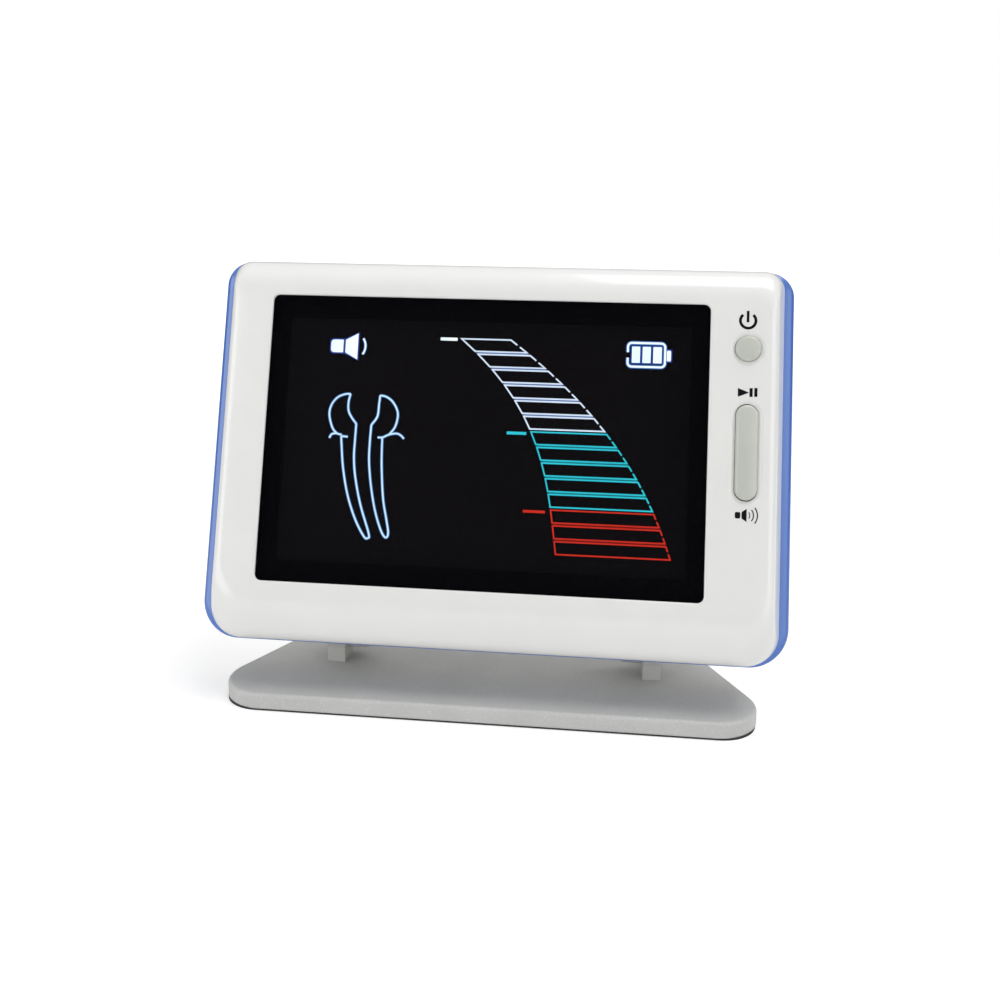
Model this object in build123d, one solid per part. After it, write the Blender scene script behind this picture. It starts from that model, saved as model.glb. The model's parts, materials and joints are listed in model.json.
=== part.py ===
"""Desk-top dental apex locator: a leaning display head hinged on a weighted, tapered base plate.

The part frame is in millimetres, +Z up and +X to the viewer's right. Its origin is on the
table under the middle of the base plate, and the screen faces -Y.

The head is modelled upright in its own frame: X right, Y depth behind the face, Z up the face.
Y is 0 on the flat face and Z is 0 at the middle of the screen. on_head() leans it on the hinge.
"""

from build123d import *
import math
import os

# ---- screen and head -------------------------------------------------------------------
SCREEN_WIDTH = 95.0
SCREEN_HEIGHT = 62.5
SCREEN_CORNER = 1.4
LEFT_MARGIN = 11.56  # screen to the head's left side, at the seam
BUTTON_COLUMN = 16.36  # screen to the head's right side, at the seam
TOP_MARGIN = 8.9  # screen to the head's top
BOTTOM_MARGIN = 12.95  # screen to the head's bottom
TOP_ROLL = 7.6  # height over which the face rolls back to the top
BOTTOM_ROLL = 10.9  # height over which the face rolls back to the bottom
TOP_CORNER = 3.8
BOTTOM_CORNER = 7.0
FACE_INSET = 2.35  # how much narrower each side is at the face than at the seam
FACE_EDGE = 1.5  # radius round the face's left and right edges
ROLL_STEPS = 8  # flat strips that make up each roll
FRONT_DEPTH = 7.0  # face to the trim band; the rolls at both ends take all of it
TRIM_WIDTH = 3.4
TRIM_PROUD_SIDE = 2.3
TRIM_PROUD_END = 0.15
TRIM_CORNER_GROW = 1.4  # how much rounder the band's corners are than the covers'
HEAD_DEPTH = 21.0
REAR_ROLL = 3.5
WALL = 2.0
HEAD_LEAN = 17.3  # degrees back from upright

# ---- display stack -----------------------------------------------------------------------
LENS_RECESS = 0.6
LENS_OVERLAP = 1.1  # how far the lens runs behind the cover's lip
LENS_CLEARANCE = 0.1
GASKET = 0.6
VIEW_BORDER_SIDE = 3.6  # black border between the screen opening and the picture
VIEW_BORDER_END = 4.6
LCD_THICKNESS = 2.2
LCD_EDGE = 0.6  # panel inside the lens outline
BACKLIGHT = 3.2
FLEX_WIDTH = 36.0
FLEX_THICKNESS = 0.3

# ---- buttons -----------------------------------------------------------------------------
BUTTON_X_FROM_SIDE = 8.46  # button column's middle to the head's right side
POWER_UP = 22.0  # power button above the screen's middle
POWER_RADIUS = 2.7
ROCKER_UP = 0.15
ROCKER_WIDTH = 4.6
ROCKER_LENGTH = 19.9
BUTTON_PROUD = 0.9
POWER_GAP = 0.15
ROCKER_GAP = 0.25
DISH_WIDTH = 0.9
DISH_DEPTH = 0.4
FLANGE = 0.9
FLANGE_THICKNESS = 0.8
POWER_FLANGE_GAP = 0.1
ROCKER_FLANGE_GAP = 0.7
STEM_RADIUS = 1.2
ROCKER_PIN_RADIUS = 0.8
ROCKER_PIN_SETBACK = 1.9  # pivot behind the front wall's inner side
ROCKER_STEM_ARM = 7.4  # each stem from the pivot
LUG_THICKNESS = 1.5
LUG_GAP = 0.2
SWITCH_SIDE = 6.0
SWITCH_HEIGHT = 3.4
PLUNGER_RADIUS = 1.5
PLUNGER_GAP = 0.35
PLUNGER_PROUD = 0.6
PLUNGER_SUNK = 0.9
PLUNGER_TRAVEL = 0.5

# ---- board, battery, speaker and sockets ---------------------------------------------------
BOARD_DEPTH = 9.5
BOARD_THICKNESS = 1.6
BOARD_CLEARANCE = 2.9  # board edge to the shell's inner wall
PANEL_CLEARANCE = 0.36  # display panel to the board bosses beside it
BOSS_RADIUS = 2.8
BOARD_BOSS_RADIUS = 2.0
BOSS_INSET = 7.2  # case boss axis from the seam outline
BOSS_MEET = 11.0  # depth where front and rear bosses meet
SCREW_RADIUS = 1.25
SMALL_SCREW_RADIUS = 1.0
SCREW_HEAD_RADIUS = 2.2
SCREW_HEAD = 1.4
SCREW_GAP = 0.05
BATTERY_WIDTH = 52.0
BATTERY_HEIGHT = 34.0
BATTERY_THICKNESS = 5.8
BATTERY_GAP = 0.5
BAY_UP = 6.0
BAY_WALL = 1.2
BAY_CLEARANCE = 0.4  # board's back to the battery bay
DOOR_LIP = 3.4
DOOR_LIP_THICKNESS = 1.0
DOOR_GAP = 0.2
DOOR_TAB = 9.0
SPEAKER_RADIUS = 10.0
SPEAKER_THICKNESS = 4.2
SPEAKER_GAP_TO_BAY = 5.0
GRILLE_HOLE = 0.75
GRILLE_PITCH = 2.7
SOCKET_UP = -18.0
SOCKET_DEPTH = 14.2
JACK_BORE = 1.8
JACK_BORE_LENGTH = 13.0
JACK_NOSE = 2.9
JACK_BODY_HALF = 3.8
JACK_BODY_LENGTH = 15.0
USB_WIDTH = 8.9
USB_HEIGHT = 3.3
USB_LENGTH = 7.6
USB_SKIN = 0.35
SOCKET_CLEARANCE = 0.1
HEADER_HEIGHT = 2.6
WIRE_RADIUS = 0.6

# ---- base plate --------------------------------------------------------------------------
BASE_WIDTH = 116.4
BASE_DEPTH = 72.0
BASE_TAPER = 24.8  # degrees each side runs in towards the back
BASE_FRONT_CORNER = 9.5
BASE_REAR_CORNER = 14.0
BASE_THICKNESS = 3.4
BASE_TOP_EDGE = 0.8
PAD_THICKNESS = 0.5
PAD_INSET = 1.4

# ---- hinge -------------------------------------------------------------------------------
HINGE_SETBACK = 22.83  # hinge axis behind the base's front edge
AXIS_HEIGHT = 5.58  # hinge axis above the plate
AXIS_STANDOFF = 3.5  # hinge axis behind the head's back
AXIS_RISE = 0.6  # hinge axis above the head's bottom
EAR_OUTER = 38.4
EAR_WIDTH = 4.2
EAR_RADIUS = 3.2
EAR_TOE = 1.1  # how far the foot runs forward of the round end
EAR_TOE_DROP = 2.0  # top of the toe below the axis
EAR_FOOT_LENGTH = 14.0
EAR_FOOT_HEIGHT = 2.8
WASHER = 0.3
KNUCKLE_LENGTH = 5.4
KNUCKLE_DOME = 1.6
PIN_RADIUS = 1.5
PIN_FIT = 0.02
PIN_RUNNING = 0.05
PIN_HEAD_RADIUS = 2.3
PIN_HEAD = 0.9
LEAF_WIDTH = 9.0
LEAF_HEIGHT = 19.0
LEAF_THICKNESS = 1.6
LEAF_SCREW_HEAD = 0.7

# ---- places worked out from the sizes above ----------------------------------------------
OVER = 1.0  # how far a cutting solid runs past what it cuts
HALF_WIDTH = (LEFT_MARGIN + SCREEN_WIDTH + BUTTON_COLUMN) / 2
SCREEN_X = -HALF_WIDTH + LEFT_MARGIN + SCREEN_WIDTH / 2
TOP = SCREEN_HEIGHT / 2 + TOP_MARGIN
BOTTOM = -SCREEN_HEIGHT / 2 - BOTTOM_MARGIN
SEAM_BACK = FRONT_DEPTH + TRIM_WIDTH
BUTTON_X = HALF_WIDTH - BUTTON_X_FROM_SIDE
LENS_BACK = WALL
LCD_FRONT = LENS_BACK + GASKET
ROCKER_PIN_DEPTH = WALL + ROCKER_PIN_SETBACK
LCD_BACK = LCD_FRONT + LCD_THICKNESS
BACKLIGHT_BACK = LCD_BACK + BACKLIGHT
LENS_WIDTH = SCREEN_WIDTH + 2 * LENS_OVERLAP
LENS_HEIGHT = SCREEN_HEIGHT + 2 * LENS_OVERLAP
PANEL_LEFT = SCREEN_X - LENS_WIDTH / 2 + LCD_EDGE
BOARD_BACK = BOARD_DEPTH + BOARD_THICKNESS
HEADER_BACK = BOARD_BACK + HEADER_HEIGHT
SWITCH_FRONT = BOARD_DEPTH - SWITCH_HEIGHT
PLUNGER_FRONT = SWITCH_FRONT - PLUNGER_PROUD
BAY_BACK = HEAD_DEPTH - WALL
BAY_FRONT = BOARD_BACK + BAY_CLEARANCE + BAY_WALL
CELL_BACK = BAY_FRONT + BATTERY_GAP + BATTERY_THICKNESS
SPEAKER_RIM_FRONT = BAY_BACK - SPEAKER_THICKNESS * 0.6
SPEAKER_X = -(BATTERY_WIDTH / 2 + BATTERY_GAP + BAY_WALL + SPEAKER_GAP_TO_BAY + SPEAKER_RADIUS)
PLATE_TOP = PAD_THICKNESS + BASE_THICKNESS
AXIS_Y = -BASE_DEPTH / 2 + HINGE_SETBACK
AXIS_Z = PLATE_TOP + AXIS_HEIGHT
AXIS_IN_HEAD = (HEAD_DEPTH + AXIS_STANDOFF, BOTTOM + AXIS_RISE)
EAR_INNER = EAR_OUTER - EAR_WIDTH
KNUCKLE_OUTER = EAR_INNER - WASHER
LEAF_OUTER = KNUCKLE_OUTER
CASE_BOSSES = [
    (side * (HALF_WIDTH - BOSS_INSET), up)
    for side in (-1, 1)
    for up in (TOP - BOSS_INSET + 1.0, BOTTOM + BOSS_INSET + 1.2)
]
BOARD_BOSSES = [
    (PANEL_LEFT - BOARD_BOSS_RADIUS - PANEL_CLEARANCE, SCREEN_HEIGHT / 3),
    (PANEL_LEFT - BOARD_BOSS_RADIUS - PANEL_CLEARANCE, SOCKET_UP + JACK_BODY_HALF + 4.0),
    (BUTTON_X, SOCKET_UP - USB_WIDTH / 2 - 3.4),
    (SCREEN_X + LENS_WIDTH / 2 + BOARD_BOSS_RADIUS + 0.6, POWER_UP + POWER_RADIUS + FLANGE + 4.3),
]
LEAF_SCREWS = [
    (side * (LEAF_OUTER - LEAF_WIDTH / 2), AXIS_IN_HEAD[1] + up) for side in (-1, 1) for up in (10.5, 16.0)
]


# ---- helpers -----------------------------------------------------------------------------
def on_head(shape):
    """Leans a piece from the upright head frame into the part frame, about the hinge axis."""
    depth, up = AXIS_IN_HEAD
    return Pos(0, AXIS_Y, AXIS_Z) * Rot(X=-HEAD_LEAN) * Pos(0, -depth, -up) * shape


def at_depth(depth):
    """A plane parallel to the face: its x is X, its y is Z, and it looks out towards -Y."""
    return Plane.XZ.offset(-depth)


def slab(face, front, back):
    """The flat shape, drawn as (x, up), filling the depths from front to back."""
    return extrude(at_depth(back) * face, back - front, dir=(0, -1, 0))


def post(x, up, radius, front, back):
    """A round bar along the depth."""
    return slab(Pos(x, up) * Circle(radius), front, back)


def block(x, up, width, height, front, back, corner=0.0):
    """A box along the depth, with rounded edges if corner is given."""
    face = RectangleRounded(width, height, corner) if corner else Rectangle(width, height)
    return slab(Pos(x, up) * face, front, back)


def across(face, x_from, x_to):
    """The flat shape, drawn as (Y, Z), filling the given span of X."""
    return extrude(Plane.YZ.offset(x_from) * face, x_to - x_from, dir=(1, 0, 0))


def cross_bar(depth, up, radius, x_from, x_to):
    """A round bar along X."""
    return across(Pos(depth, up) * Circle(radius), x_from, x_to)


def round_outline(half, high, low, top_corner, bottom_corner):
    """A rectangle drawn as (x, up) with one corner radius at the top and another at the bottom."""
    face = Polygon((-half, low), (half, low), (half, high), (-half, high), align=None)
    face = fillet(face.vertices().group_by(Axis.Y)[0], bottom_corner)
    return fillet(face.vertices().group_by(Axis.Y)[-1], top_corner)


def case_outline(grow_side, grow_end, grow_corner=None):
    """The head's outline at the seam, grown by these amounts at the sides, the ends and the corners' radius."""
    more = grow_end if grow_corner is None else grow_corner
    return round_outline(
        HALF_WIDTH + grow_side, TOP + grow_end, BOTTOM - grow_end, TOP_CORNER + more, BOTTOM_CORNER + more
    )


def front_block(inset, edge=0.0):
    """The front shell's outer or inner form from the face to the seam, as a stack of outlines.

    The ends roll back on a quarter ellipse. The sides taper, and edge is their radius at the face.
    """
    sections = []
    for step in range(ROLL_STEPS + 1):
        turn = math.pi / 2 * step / ROLL_STEPS
        depth = inset + (FRONT_DEPTH - inset) * (1 - math.cos(turn))
        drop = 1 - math.sin(turn)
        side = inset + FACE_INSET * (1 - depth / FRONT_DEPTH)
        if depth < edge:
            side += edge - math.sqrt(edge**2 - (edge - depth) ** 2)
        outline = round_outline(
            HALF_WIDTH - side,
            TOP - inset - (TOP_ROLL - inset) * drop,
            BOTTOM + inset + (BOTTOM_ROLL - inset) * drop,
            TOP_CORNER - inset,
            BOTTOM_CORNER - inset,
        )
        sections.append(at_depth(depth) * outline)
    return loft(sections, ruled=True)


def both_sides(piece):
    """The piece and its mirror image across the middle plane."""
    return piece, mirror(piece, about=Plane.YZ)


# ---- front cover and what it carries -----------------------------------------------------
def button_dish(face_of, gap):
    """A shallow tapered dish round a button hole; face_of(grow) draws the button grown all round."""
    return loft([
        at_depth(0) * face_of(gap + DISH_WIDTH),
        at_depth(DISH_DEPTH) * face_of(gap),
    ])


def power_face(grow):
    return Pos(BUTTON_X, POWER_UP) * Circle(POWER_RADIUS + grow)


def rocker_face(grow):
    width, length = ROCKER_WIDTH + 2 * grow, ROCKER_LENGTH + 2 * grow
    return Pos(BUTTON_X, ROCKER_UP) * Rot(Z=90) * SlotOverall(length, width)


def rocker_lug(side):
    """An ear behind the front wall that holds one end of the rocker's pivot pin."""
    inner = ROCKER_WIDTH / 2 + FLANGE + LUG_GAP
    x = BUTTON_X + side * (inner + LUG_THICKNESS / 2)
    height = 2 * (ROCKER_PIN_RADIUS + 1.2)
    return block(x, ROCKER_UP, LUG_THICKNESS, height, WALL - 0.5, ROCKER_PIN_DEPTH + ROCKER_PIN_RADIUS + 1.0)


def rocker_pin_span():
    inner = ROCKER_WIDTH / 2 + FLANGE + LUG_GAP
    return BUTTON_X - inner - LUG_THICKNESS, BUTTON_X + inner + LUG_THICKNESS


def make_front_cover():
    cover = front_block(0, FACE_EDGE) - front_block(WALL)
    for x, up in CASE_BOSSES:
        cover += post(x, up, BOSS_RADIUS, WALL, BOSS_MEET)
    for x, up in BOARD_BOSSES:
        cover += post(x, up, BOARD_BOSS_RADIUS, WALL - 0.5, BOARD_DEPTH)
    for side in (-1, 1):
        cover += rocker_lug(side)
    for x, up in CASE_BOSSES:
        cover -= post(x, up, SCREW_RADIUS + SCREW_GAP, WALL + 1.5, BOSS_MEET + OVER)
    for x, up in BOARD_BOSSES:
        cover -= post(x, up, SMALL_SCREW_RADIUS + SCREW_GAP, WALL + 1.5, BOARD_DEPTH + OVER)
    cover -= block(SCREEN_X, 0, SCREEN_WIDTH, SCREEN_HEIGHT, -OVER, WALL + OVER, SCREEN_CORNER)
    cover -= block(SCREEN_X, 0, *lens_size(LENS_CLEARANCE), LENS_RECESS, WALL, SCREEN_CORNER)
    cover -= slab(power_face(POWER_GAP), -OVER, WALL + OVER) + button_dish(power_face, POWER_GAP)
    cover -= slab(rocker_face(ROCKER_GAP), -OVER, WALL + OVER) + button_dish(rocker_face, ROCKER_GAP)
    start, end = rocker_pin_span()
    return cover - cross_bar(ROCKER_PIN_DEPTH, ROCKER_UP, ROCKER_PIN_RADIUS + PIN_FIT, start - OVER, end + OVER)


def lens_size(grow=0.0):
    return LENS_WIDTH + 2 * grow, LENS_HEIGHT + 2 * grow


def make_screen_lens():
    return block(SCREEN_X, 0, *lens_size(), LENS_RECESS, LENS_BACK, SCREEN_CORNER)


def make_screen_gasket():
    view = block(
        SCREEN_X, 0, SCREEN_WIDTH - 2 * VIEW_BORDER_SIDE, SCREEN_HEIGHT - 2 * VIEW_BORDER_END,
        LENS_BACK - OVER, LCD_FRONT + OVER,
    )
    return block(SCREEN_X, 0, *lens_size(-LCD_EDGE), LENS_BACK, LCD_FRONT, SCREEN_CORNER) - view


def make_lcd_panel():
    return block(SCREEN_X, 0, *lens_size(-LCD_EDGE), LCD_FRONT, LCD_BACK)


def make_backlight():
    return block(SCREEN_X, 0, *lens_size(-2 * LCD_EDGE), LCD_BACK, BACKLIGHT_BACK, 1.0)


def make_lcd_flex():
    """A thin strip that leaves the panel's lower edge, folds back and lands on the board."""
    edge = -LENS_HEIGHT / 2 + LCD_EDGE
    out = edge - 1.2
    start = LCD_FRONT + LCD_THICKNESS / 2
    points = [
        (start, edge),
        (start, out),
        (BOARD_DEPTH, out),
        (BOARD_DEPTH, out + 5.0),
        (BOARD_DEPTH - FLEX_THICKNESS, out + 5.0),
        (BOARD_DEPTH - FLEX_THICKNESS, out + FLEX_THICKNESS),
        (start + FLEX_THICKNESS, out + FLEX_THICKNESS),
        (start + FLEX_THICKNESS, edge),
    ]
    middle = FLEX_WIDTH / 2
    return across(Polygon(*points, align=None), SCREEN_X - middle, SCREEN_X + middle)


# ---- buttons -----------------------------------------------------------------------------
def button_cap(face, flange_face, flange_front):
    """A keycap through the front wall with a flange behind it and a softened front rim."""
    cap = slab(face, -BUTTON_PROUD, flange_front + FLANGE_THICKNESS / 2)
    rim = cap.edges().group_by(Axis.Y)[0]
    return fillet(rim, BUTTON_PROUD * 0.7) + slab(flange_face, flange_front, flange_front + FLANGE_THICKNESS)


def make_power_button():
    flange_front = WALL + POWER_FLANGE_GAP
    cap = button_cap(power_face(0), power_face(FLANGE), flange_front)
    return cap + post(BUTTON_X, POWER_UP, STEM_RADIUS, flange_front, PLUNGER_FRONT)


def make_rocker_button():
    flange_front = WALL + ROCKER_FLANGE_GAP
    key = button_cap(rocker_face(0), rocker_face(FLANGE), flange_front)
    for arm in (-ROCKER_STEM_ARM, ROCKER_STEM_ARM):
        key += post(BUTTON_X, ROCKER_UP + arm, STEM_RADIUS, flange_front, PLUNGER_FRONT)
    hub_radius = ROCKER_PIN_RADIUS + 0.9
    half = ROCKER_WIDTH / 2 + FLANGE
    hub = cross_bar(ROCKER_PIN_DEPTH, ROCKER_UP, hub_radius, BUTTON_X - half, BUTTON_X + half)
    hole = cross_bar(
        ROCKER_PIN_DEPTH, ROCKER_UP, ROCKER_PIN_RADIUS + PIN_RUNNING, BUTTON_X - half - OVER, BUTTON_X + half + OVER
    )
    return key + hub - hole


def switch_places():
    return {
        "power": POWER_UP,
        "play": ROCKER_UP + ROCKER_STEM_ARM,
        "volume": ROCKER_UP - ROCKER_STEM_ARM,
    }


def make_switch(up):
    body = block(BUTTON_X, up, SWITCH_SIDE, SWITCH_SIDE, SWITCH_FRONT, BOARD_DEPTH, 0.4)
    well = PLUNGER_SUNK + PLUNGER_TRAVEL + 0.1
    return body - post(BUTTON_X, up, PLUNGER_RADIUS + PLUNGER_GAP, SWITCH_FRONT - OVER, SWITCH_FRONT + well)


def make_plunger(up):
    return post(BUTTON_X, up, PLUNGER_RADIUS, PLUNGER_FRONT, SWITCH_FRONT + PLUNGER_SUNK)


def make_rocker_pin():
    start, end = rocker_pin_span()
    return cross_bar(ROCKER_PIN_DEPTH, ROCKER_UP, ROCKER_PIN_RADIUS, start, end)


# ---- trim band and rear cover ------------------------------------------------------------
def make_trim_frame():
    """A half-round blue band between the two covers, fuller at the sides than at the ends."""
    sections = []
    for share in (0.0, 0.18, 0.5, 0.82, 1.0):
        swell = math.sqrt(1 - (2 * share - 1) ** 2)
        depth = FRONT_DEPTH + share * TRIM_WIDTH
        outline = case_outline(swell * TRIM_PROUD_SIDE, swell * TRIM_PROUD_END, swell * TRIM_CORNER_GROW)
        sections.append(at_depth(depth) * outline)
    band = loft(sections)
    return band - slab(case_outline(-WALL, -WALL), FRONT_DEPTH - OVER, SEAM_BACK + OVER)


def rear_block(inset):
    body = slab(case_outline(-inset, -inset), SEAM_BACK, HEAD_DEPTH - inset)
    return fillet(body.edges().group_by(Axis.Y)[-1], REAR_ROLL - inset)


def door_size(grow=0.0):
    lip = 2 * (DOOR_LIP + grow)
    return BATTERY_WIDTH + lip, BATTERY_HEIGHT + lip


def door_screw_place():
    return 0.0, BAY_UP + BATTERY_HEIGHT / 2 + DOOR_LIP + DOOR_TAB / 2 - 2.0


def door_tab(grow, front, back):
    """The rounded tongue above the battery door that takes its screw."""
    height = DOOR_TAB + 2 * grow
    up = BAY_UP + BATTERY_HEIGHT / 2 + DOOR_LIP + DOOR_TAB / 2 - 3.0
    return block(0, up, DOOR_TAB + 2 * grow, height, front, back, 3.0)


def grille_holes():
    """One hole in the middle and two rings of holes round it."""
    places = [(0.0, 0.0)]
    for ring in (1, 2):
        for step in range(6 * ring):
            angle = 2 * math.pi * step / (6 * ring)
            places.append((ring * GRILLE_PITCH * math.cos(angle), ring * GRILLE_PITCH * math.sin(angle)))
    return [post(SPEAKER_X + x, BAY_UP + up, GRILLE_HOLE, BAY_BACK - OVER, HEAD_DEPTH + OVER) for x, up in places]


def usb_opening(grow, x_from, x_to):
    face = Rot(Z=90) * SlotOverall(USB_WIDTH + 2 * grow, USB_HEIGHT + 2 * grow)
    return across(Pos(SOCKET_DEPTH, SOCKET_UP) * face, x_from, x_to)


def make_rear_cover():
    cover = rear_block(0) - (rear_block(WALL) + slab(case_outline(-WALL, -WALL), SEAM_BACK - OVER, SEAM_BACK))
    bay = (BATTERY_WIDTH + 2 * BATTERY_GAP, BATTERY_HEIGHT + 2 * BATTERY_GAP)
    cover += block(0, BAY_UP, bay[0] + 2 * BAY_WALL, bay[1] + 2 * BAY_WALL, BAY_FRONT - BAY_WALL, BAY_BACK + 0.5)
    for x, up in CASE_BOSSES:
        cover += post(x, up, BOSS_RADIUS, BOSS_MEET, BAY_BACK + 0.5)
    for x, up in LEAF_SCREWS + [door_screw_place()]:
        cover += post(x, up, BOSS_RADIUS, BAY_BACK - 5.0, BAY_BACK + 0.5)
    cover -= block(0, BAY_UP, *bay, BAY_FRONT, HEAD_DEPTH + OVER)
    lip_front = HEAD_DEPTH - DOOR_LIP_THICKNESS - DOOR_GAP
    cover -= block(0, BAY_UP, *door_size(DOOR_GAP), lip_front, HEAD_DEPTH + OVER, 2.0)
    cover -= door_tab(DOOR_GAP, lip_front, HEAD_DEPTH + OVER)
    for x, up in CASE_BOSSES:
        cover -= post(x, up, SCREW_RADIUS + SCREW_GAP, BOSS_MEET - OVER, HEAD_DEPTH)
        cover -= post(x, up, SCREW_HEAD_RADIUS + SCREW_GAP, BAY_BACK - 1.0, HEAD_DEPTH + OVER)
    for x, up in LEAF_SCREWS + [door_screw_place()]:
        cover -= post(x, up, SMALL_SCREW_RADIUS + SCREW_GAP, BAY_BACK - 4.0, HEAD_DEPTH + OVER)
    for hole in grille_holes():
        cover -= hole
    nose = JACK_NOSE + SOCKET_CLEARANCE
    cover -= cross_bar(SOCKET_DEPTH, SOCKET_UP, nose, -HALF_WIDTH - OVER, -HALF_WIDTH + WALL + OVER)
    return cover - usb_opening(SOCKET_CLEARANCE, HALF_WIDTH - WALL - OVER, HALF_WIDTH + OVER)


# ---- battery -----------------------------------------------------------------------------
def make_battery_door():
    """A plate with a plug that reaches the cell; over a cell too thick for that it swells to a pan."""
    plate_front = HEAD_DEPTH - DOOR_LIP_THICKNESS
    door = block(0, BAY_UP, *door_size(), plate_front, HEAD_DEPTH, 1.8)
    door += door_tab(0, plate_front, HEAD_DEPTH)
    if CELL_BACK < plate_front:
        door += block(0, BAY_UP, BATTERY_WIDTH, BATTERY_HEIGHT, CELL_BACK, HEAD_DEPTH - DOOR_LIP_THICKNESS / 2)
    pocket = (BATTERY_WIDTH + 2 * BATTERY_GAP, BATTERY_HEIGHT + 2 * BATTERY_GAP)
    if CELL_BACK + WALL > HEAD_DEPTH:
        door += block(0, BAY_UP, *[side + 2 * BAY_WALL for side in pocket], plate_front, CELL_BACK + WALL, 2.0)
    if CELL_BACK > plate_front:
        door -= block(0, BAY_UP, *pocket, plate_front - OVER, CELL_BACK)
    x, up = door_screw_place()
    return door - post(x, up, SMALL_SCREW_RADIUS + SCREW_GAP, BAY_BACK, HEAD_DEPTH + OVER)


def make_door_screw():
    x, up = door_screw_place()
    return post(x, up, SMALL_SCREW_RADIUS, BAY_BACK - 3.0, HEAD_DEPTH) + post(
        x, up, SMALL_SCREW_RADIUS + 0.9, HEAD_DEPTH, HEAD_DEPTH + LEAF_SCREW_HEAD
    )


def make_battery_cell():
    return block(0, BAY_UP, BATTERY_WIDTH, BATTERY_HEIGHT, CELL_BACK - BATTERY_THICKNESS, CELL_BACK, 1.5)


def wire(points, radius):
    """A round wire along straight runs with an arc at every corner."""
    corners = [Vector(*p) for p in points]
    bends = []
    for before, here, after in zip(corners, corners[1:], corners[2:]):
        turn = math.radians((here - before).get_angle(after - here))
        shorter = min((here - before).length, (after - here).length)
        bends.append(0.45 * shorter / math.tan(turn / 2))
    path = FilletPolyline(*corners, radius=bends)
    start = Plane(origin=path @ 0, z_dir=path % 0)
    return sweep(start * Circle(radius), path=path)


# ---- board -------------------------------------------------------------------------------
def make_main_board():
    half = HALF_WIDTH - WALL - BOARD_CLEARANCE
    high, low = TOP - WALL - BOARD_CLEARANCE, BOTTOM + WALL + BOARD_CLEARANCE
    board = block(0, (high + low) / 2, 2 * half, high - low, BOARD_DEPTH, BOARD_BACK, 1.0)
    keep = BOSS_RADIUS + 0.6
    for x, up in CASE_BOSSES:
        corner_x = half + OVER if x > 0 else -half - OVER
        corner_up = high + OVER if up > 0 else low - OVER
        inner_x, inner_up = x - math.copysign(keep, x), up - math.copysign(keep, up)
        board -= block(
            (corner_x + inner_x) / 2, (corner_up + inner_up) / 2,
            abs(corner_x - inner_x), abs(corner_up - inner_up), BOARD_DEPTH - OVER, BOARD_BACK + OVER,
        )
    for x, up in BOARD_BOSSES:
        board -= post(x, up, SMALL_SCREW_RADIUS + SCREW_GAP, BOARD_DEPTH - OVER, BOARD_BACK + OVER)
    return board


def make_board_chips():
    """The larger parts on the board's back: processor, amplifiers, crystal and a header."""
    low = BOTTOM + WALL + BOARD_CLEARANCE
    sizes = [
        (-18.0, low + 8.0, 10.0, 10.0, 1.5),
        (2.0, low + 8.0, 7.0, 5.0, 1.4),
        (14.0, low + 8.0, 7.0, 5.0, 1.4),
        (-30.0, low + 7.0, 4.0, 8.0, 1.8),
        (28.0, low + 8.0, 6.0, 6.0, 1.2),
    ]
    return [block(x, up, w, h, BOARD_BACK, BOARD_BACK + rise, 0.3) for x, up, w, h, rise in sizes]


def header_place(kind):
    """Where each two-pole header stands on the board, beside the battery bay."""
    side = 1 if kind == "battery" else -1
    return side * (BATTERY_WIDTH / 2 + BATTERY_GAP + BAY_WALL + 6.0), BAY_UP - BATTERY_HEIGHT / 2 + 2.0


def make_header(kind):
    x, up = header_place(kind)
    return block(x, up, 5.0, 4.0, BOARD_BACK, HEADER_BACK, 0.3)


def make_battery_leads():
    """Two wires from the bay's side wall, straight out, then down into their header."""
    x, up = header_place("battery")
    edge = BATTERY_WIDTH / 2 + BATTERY_GAP + BAY_WALL
    mid = (BAY_FRONT + BAY_BACK) / 2
    leads = []
    for step in (-0.8, 0.8):
        out_up = up + 4.0 + step
        route = [
            (edge, mid, out_up),
            (edge + 3.0, mid, out_up),
            (x + step, mid - 0.4, up),
            (x + step, HEADER_BACK, up),
        ]
        leads.append(wire(route, WIRE_RADIUS))
    return leads


def make_speaker():
    body = post(SPEAKER_X, BAY_UP, SPEAKER_RADIUS, SPEAKER_RIM_FRONT, BAY_BACK)
    magnet = post(SPEAKER_X, BAY_UP, SPEAKER_RADIUS * 0.6, BAY_BACK - SPEAKER_THICKNESS, BAY_BACK)
    return body + magnet


def make_speaker_leads():
    """Two wires from the basket's rim, beside the magnet, to their header."""
    x, up = header_place("speaker")
    middle = (SPEAKER_RIM_FRONT + HEADER_BACK) / 2
    rim_up = BAY_UP - SPEAKER_RADIUS * 0.8
    leads = []
    for step in (-0.8, 0.8):
        start = SPEAKER_X + 2.5 + step
        route = [
            (start, SPEAKER_RIM_FRONT, rim_up),
            (start, middle, rim_up),
            (x + step, middle, up),
            (x + step, HEADER_BACK, up),
        ]
        leads.append(wire(route, WIRE_RADIUS * 0.8))
    return leads


def make_lead_socket():
    """The round socket for the probe lead, open on the head's left side."""
    inner = -HALF_WIDTH + WALL
    span = JACK_BODY_LENGTH
    body = block(
        inner + span / 2, SOCKET_UP, span - 2 * SOCKET_CLEARANCE, 2 * JACK_BODY_HALF,
        BOARD_BACK, SOCKET_DEPTH + JACK_BODY_HALF - 0.4, 0.0,
    )
    nose = cross_bar(SOCKET_DEPTH, SOCKET_UP, JACK_NOSE, -HALF_WIDTH + 0.2, inner + 1.0)
    mouth = -HALF_WIDTH + 0.2
    return body + nose - cross_bar(SOCKET_DEPTH, SOCKET_UP, JACK_BORE, mouth - OVER, mouth + JACK_BORE_LENGTH)


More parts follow.
